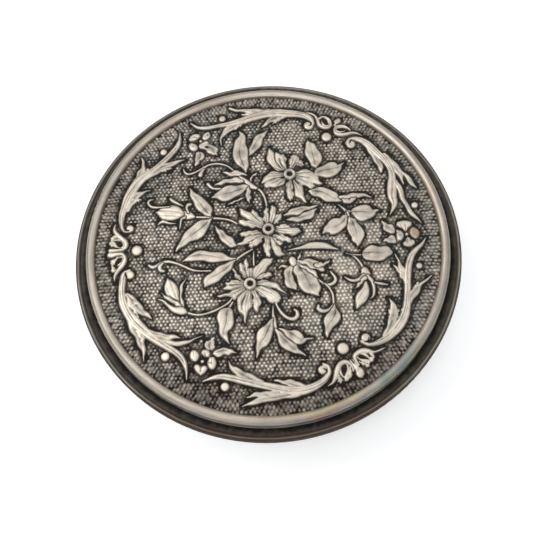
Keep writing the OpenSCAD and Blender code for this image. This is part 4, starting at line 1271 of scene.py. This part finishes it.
for drawing, degrees, outward in PALMETTES:
    drawing = [(kind, peak, turned(stations, degrees, outward)) for kind, peak, stations in drawing]
    lay(drawing, (), grow=1.05)
for x, y, radius in LARGE_PEARLS:
    stud(x, y, radius, peak=0.6)
for x, y, radius in SMALL_PEARLS:
    stud(x, y, radius, peak=0.5)
lay(SMALL_LEAVES, LAYERED, grow=1.2)
lay(SMALL_FLOWERS, (), grow=1.16)
for x, y in SMALL_FLOWER_MIDDLES:
    stud(x, y, radius=0.24, peak=0.5)
print("relief from", round(height.min(), 2), "to", round(height.max(), 2), "mm")

# %% [markdown]
# ## The punched ground
#
# The ground between the motifs was covered with a small ring punch, blow by blow, which leaves a
# field of tiny beads. They sit about half a millimetre apart in rough rows. Each is a low dome that
# fades away where a motif starts, so that a dark line runs round every leaf; the mask further down
# darkens that line with oxide and painted shade. Near the edge the beads are drawn out towards it.
# The chance that moves them is seeded, so every run gives the same beads.

# %% Ground beads
STEP = 0.52
ROW_STEP = 0.866 * STEP
SHIFT = 0.07
LAST_BEAD_R = 22.2
BEAD_REACH = 0.35
GROOVE_DEPTH = 0.05

dice = np.random.default_rng(7)
beads, glint = np.zeros_like(height), np.zeros_like(height)
for row in range(int(2 * HALF / ROW_STEP) + 1):
    for column in range(int(2 * HALF / STEP) + 1):
        x = -HALF + STEP * (column + 0.5 * (row % 2)) + dice.uniform(-SHIFT, SHIFT)
        y = -HALF + ROW_STEP * row + dice.uniform(-SHIFT, SHIFT)
        radius = 0.265 + dice.uniform(-0.05, 0.02)
        top = dice.uniform(0.13, 0.21)
        rub_and_glint = dice.uniform(0.65, 1.3)
        if math.hypot(x, y) > LAST_BEAD_R:
            continue
        place = window(x - BEAD_REACH, x + BEAD_REACH, y - BEAD_REACH, y + BEAD_REACH)
        dx, dy = axis[place[1]][None, :] - x, axis[place[0]][:, None] - y
        out = math.hypot(x, y) + 0.001
        longer = 1 + 0.45 * ease(out, 20, 21.5)
        away = np.hypot((dx * x + dy * y) / out / longer, (dy * x - dx * y) / out)
        beads[place] = np.maximum(beads[place], top * np.sqrt(np.clip(1 - (away / radius) ** 2, 0, 1)))
        # Each bead's top is painted bright: rubbed wear, and a painted highlight.
        glint[place] = np.maximum(glint[place], rub_and_glint * (1 - ease(away, 0.25 * radius, 1.05 * radius)))
groove = GROOVE_DEPTH * np.exp(-((np.clip(gap, 0, FAR) / 0.12) ** 2))
ground = beads * ease(gap, 0.02, 0.2) - groove
height = np.where(gap < 0, height, np.maximum(height, ground))
print("beads up to", round(beads.max(), 2), "mm")

# %% [markdown]
# ## Where the oxide stays
#
# Whoever wiped the sheet with a soft cloth took the black off the high places. So the mask rises with
# height, and it falls where a point lies lower than its neighbours. Blurring the height field gives
# the neighbours' level; the difference says whether a point stands up or lies in a hollow.

# %% A soft average
def blurred(field, radius):
    """A soft average over the given radius, in millimetres."""
    reach = int(3 * radius / PITCH)
    weights = np.exp(-0.5 * (np.arange(-reach, reach + 1) * PITCH / radius) ** 2)
    weights /= weights.sum()
    for side in (0, 1):
        field = np.apply_along_axis(lambda line: np.convolve(line, weights, "same"), side, field)
    return field


low_place = ease(blurred(height, 0.3) - height, 0.03, 0.16)
print("low share of the sheet:", round(float(low_place.mean()), 2))

# %% [markdown]
# ### Lighter and darker ground
#
# The ground is lighter in some patches than in others: darker towards the rim and at the front,
# lighter right of the middle and at the top. Random patches about a millimetre wide make it uneven.
# Between the beads the cloth hardly reached. Beside the motifs the ground is darker for about a
# millimetre: oxide that the cloth missed, and painted shade.

# %% Wear and painted light mask
PATCH_CELLS = 15

patches = COUNT // PATCH_CELLS + 1
coarse = blurred(dice.normal(size=(patches, patches)), 0.12)
coarse = np.kron(coarse / coarse.std(), np.ones((PATCH_CELLS, PATCH_CELLS)))[:COUNT, :COUNT]
coarse = blurred(coarse, 0.9)
east, north = axis[None, :], axis[:, None]
distance = np.hypot(east, north)
right_patch = np.exp(-(((east - 9.5) ** 2 + (north + 4) ** 2) / 50))
top_patch = np.exp(-(((east - 3.5) ** 2 + (north - 15.5) ** 2) / 9))
middle_patch = np.exp(-(distance ** 2) / 40)
# The mask is lighter right of the middle and at the top, and darker towards the rim and at the front.
ground_tone = 0.92 + 0.15 * coarse * (1 - 0.6 * ease(distance, 15, 20)) - 0.32 * ease(distance, 15, 22)
ground_tone -= 0.22 * ease(-north, 12, 20)
ground_tone += 0.16 * top_patch - 0.1 * middle_patch + 0.26 * right_patch
ground_tone = np.clip(ground_tone, 0.34, 1.15)
between_beads = 0.22 + 0.2 * right_patch
# Beside the motifs the ground is darkened: oxide and painted shade.
oxide_and_shade_beside_motifs = (0.14 + 0.86 * ease(gap, 0.0, 1.0)) * ease(gap, 0.04, 0.2)
ground_mask = ground_tone * (between_beads + (1 - between_beads) * glint) * oxide_and_shade_beside_motifs
raised = ease(-gap, -0.03, 0.03)
# The mask holds wiped oxide, with painted shade beside the motifs and painted highlights on the beads.
wear_and_painted_light_mask = np.clip(raised * wear_and_painted_light * (1 - 0.45 * low_place) + (1 - raised) * ground_mask, 0, 1)
print("rubbed share of the sheet:", round(float(wear_and_painted_light_mask.mean()), 2))

# %% [markdown]
# ## The sheet as mesh
#
# A fine grid is the natural mesh for a height field. The sheet is made in nine square pieces, so that
# no mesh grows too heavy. Each grid is raised point by point, cut to the round, and closed with a
# short wall and a flat underside, so that it is a solid piece of metal. The bare sheet is a low dome,
# as in the CAD model: it rises by the same amount over the same radius.

# %% Build the nine pieces of the sheet
SHEET_R = 22.42
PANEL_R = 22.3
DOME_RISE = 0.45
DOME_R = (PANEL_R ** 2 + DOME_RISE ** 2) / (2 * DOME_RISE)
DOME_TOP = 13.70
UNDERSIDE = 12.95


def sheet_piece(name, centre_x, centre_y):
    """One square of the chased sheet."""
    piece = bmesh.new()
    middle = Matrix.Translation((centre_x * MM, centre_y * MM, 0))
    bmesh.ops.create_grid(piece, x_segments=CELLS, y_segments=CELLS, size=TILE / 2 * MM, matrix=middle)
    off = [v for v in piece.verts if math.hypot(v.co.x, v.co.y) > SHEET_R * MM]
    bmesh.ops.delete(piece, geom=off, context="VERTS")
    rub_and_glint = piece.verts.layers.float.new("wear_and_painted_light")
    for v in piece.verts:
        x, y = v.co.x / MM, v.co.y / MM
        i, j = int(round((x + HALF) / PITCH)), int(round((y + HALF) / PITCH))
        v.co.z = (DOME_TOP - (x * x + y * y) / (2 * DOME_R) + height[j, i]) * MM
        v[rub_and_glint] = wear_and_painted_light_mask[j, i]
    for face in piece.faces:
        face.smooth = True
    rim_edges = [e for e in piece.edges if e.is_boundary]
    for e in rim_edges:
        e.smooth = False
    walls = bmesh.ops.extrude_edge_only(piece, edges=rim_edges)["geom"]
    lower = [g for g in walls if isinstance(g, bmesh.types.BMVert)]
    for v in lower:
        v.co.z = UNDERSIDE * MM
        v[rub_and_glint] = 0
    lower_edges = [g for g in walls if isinstance(g, bmesh.types.BMEdge) and g.is_boundary]
    bmesh.ops.edgeloop_fill(piece, edges=lower_edges)
    bmesh.ops.recalc_face_normals(piece, faces=piece.faces)
    mesh = bpy.data.meshes.new(name)
    piece.to_mesh(mesh)
    piece.free()
    mesh.materials.append(oxidised)
    made = bpy.data.objects.new(name, mesh)
    scene.collection.objects.link(made)
    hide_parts("lid_panel")
    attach(made, "lid")
    return made


for row, row_name in enumerate(("south", "middle", "north")):
    for column, column_name in enumerate(("west", "middle", "east")):
        name = f"chased_sheet_{row_name}_{column_name}"
        made = sheet_piece(name, (column - 1) * TILE, (row - 1) * TILE)
        print(made.name, len(made.data.polygons), "faces")
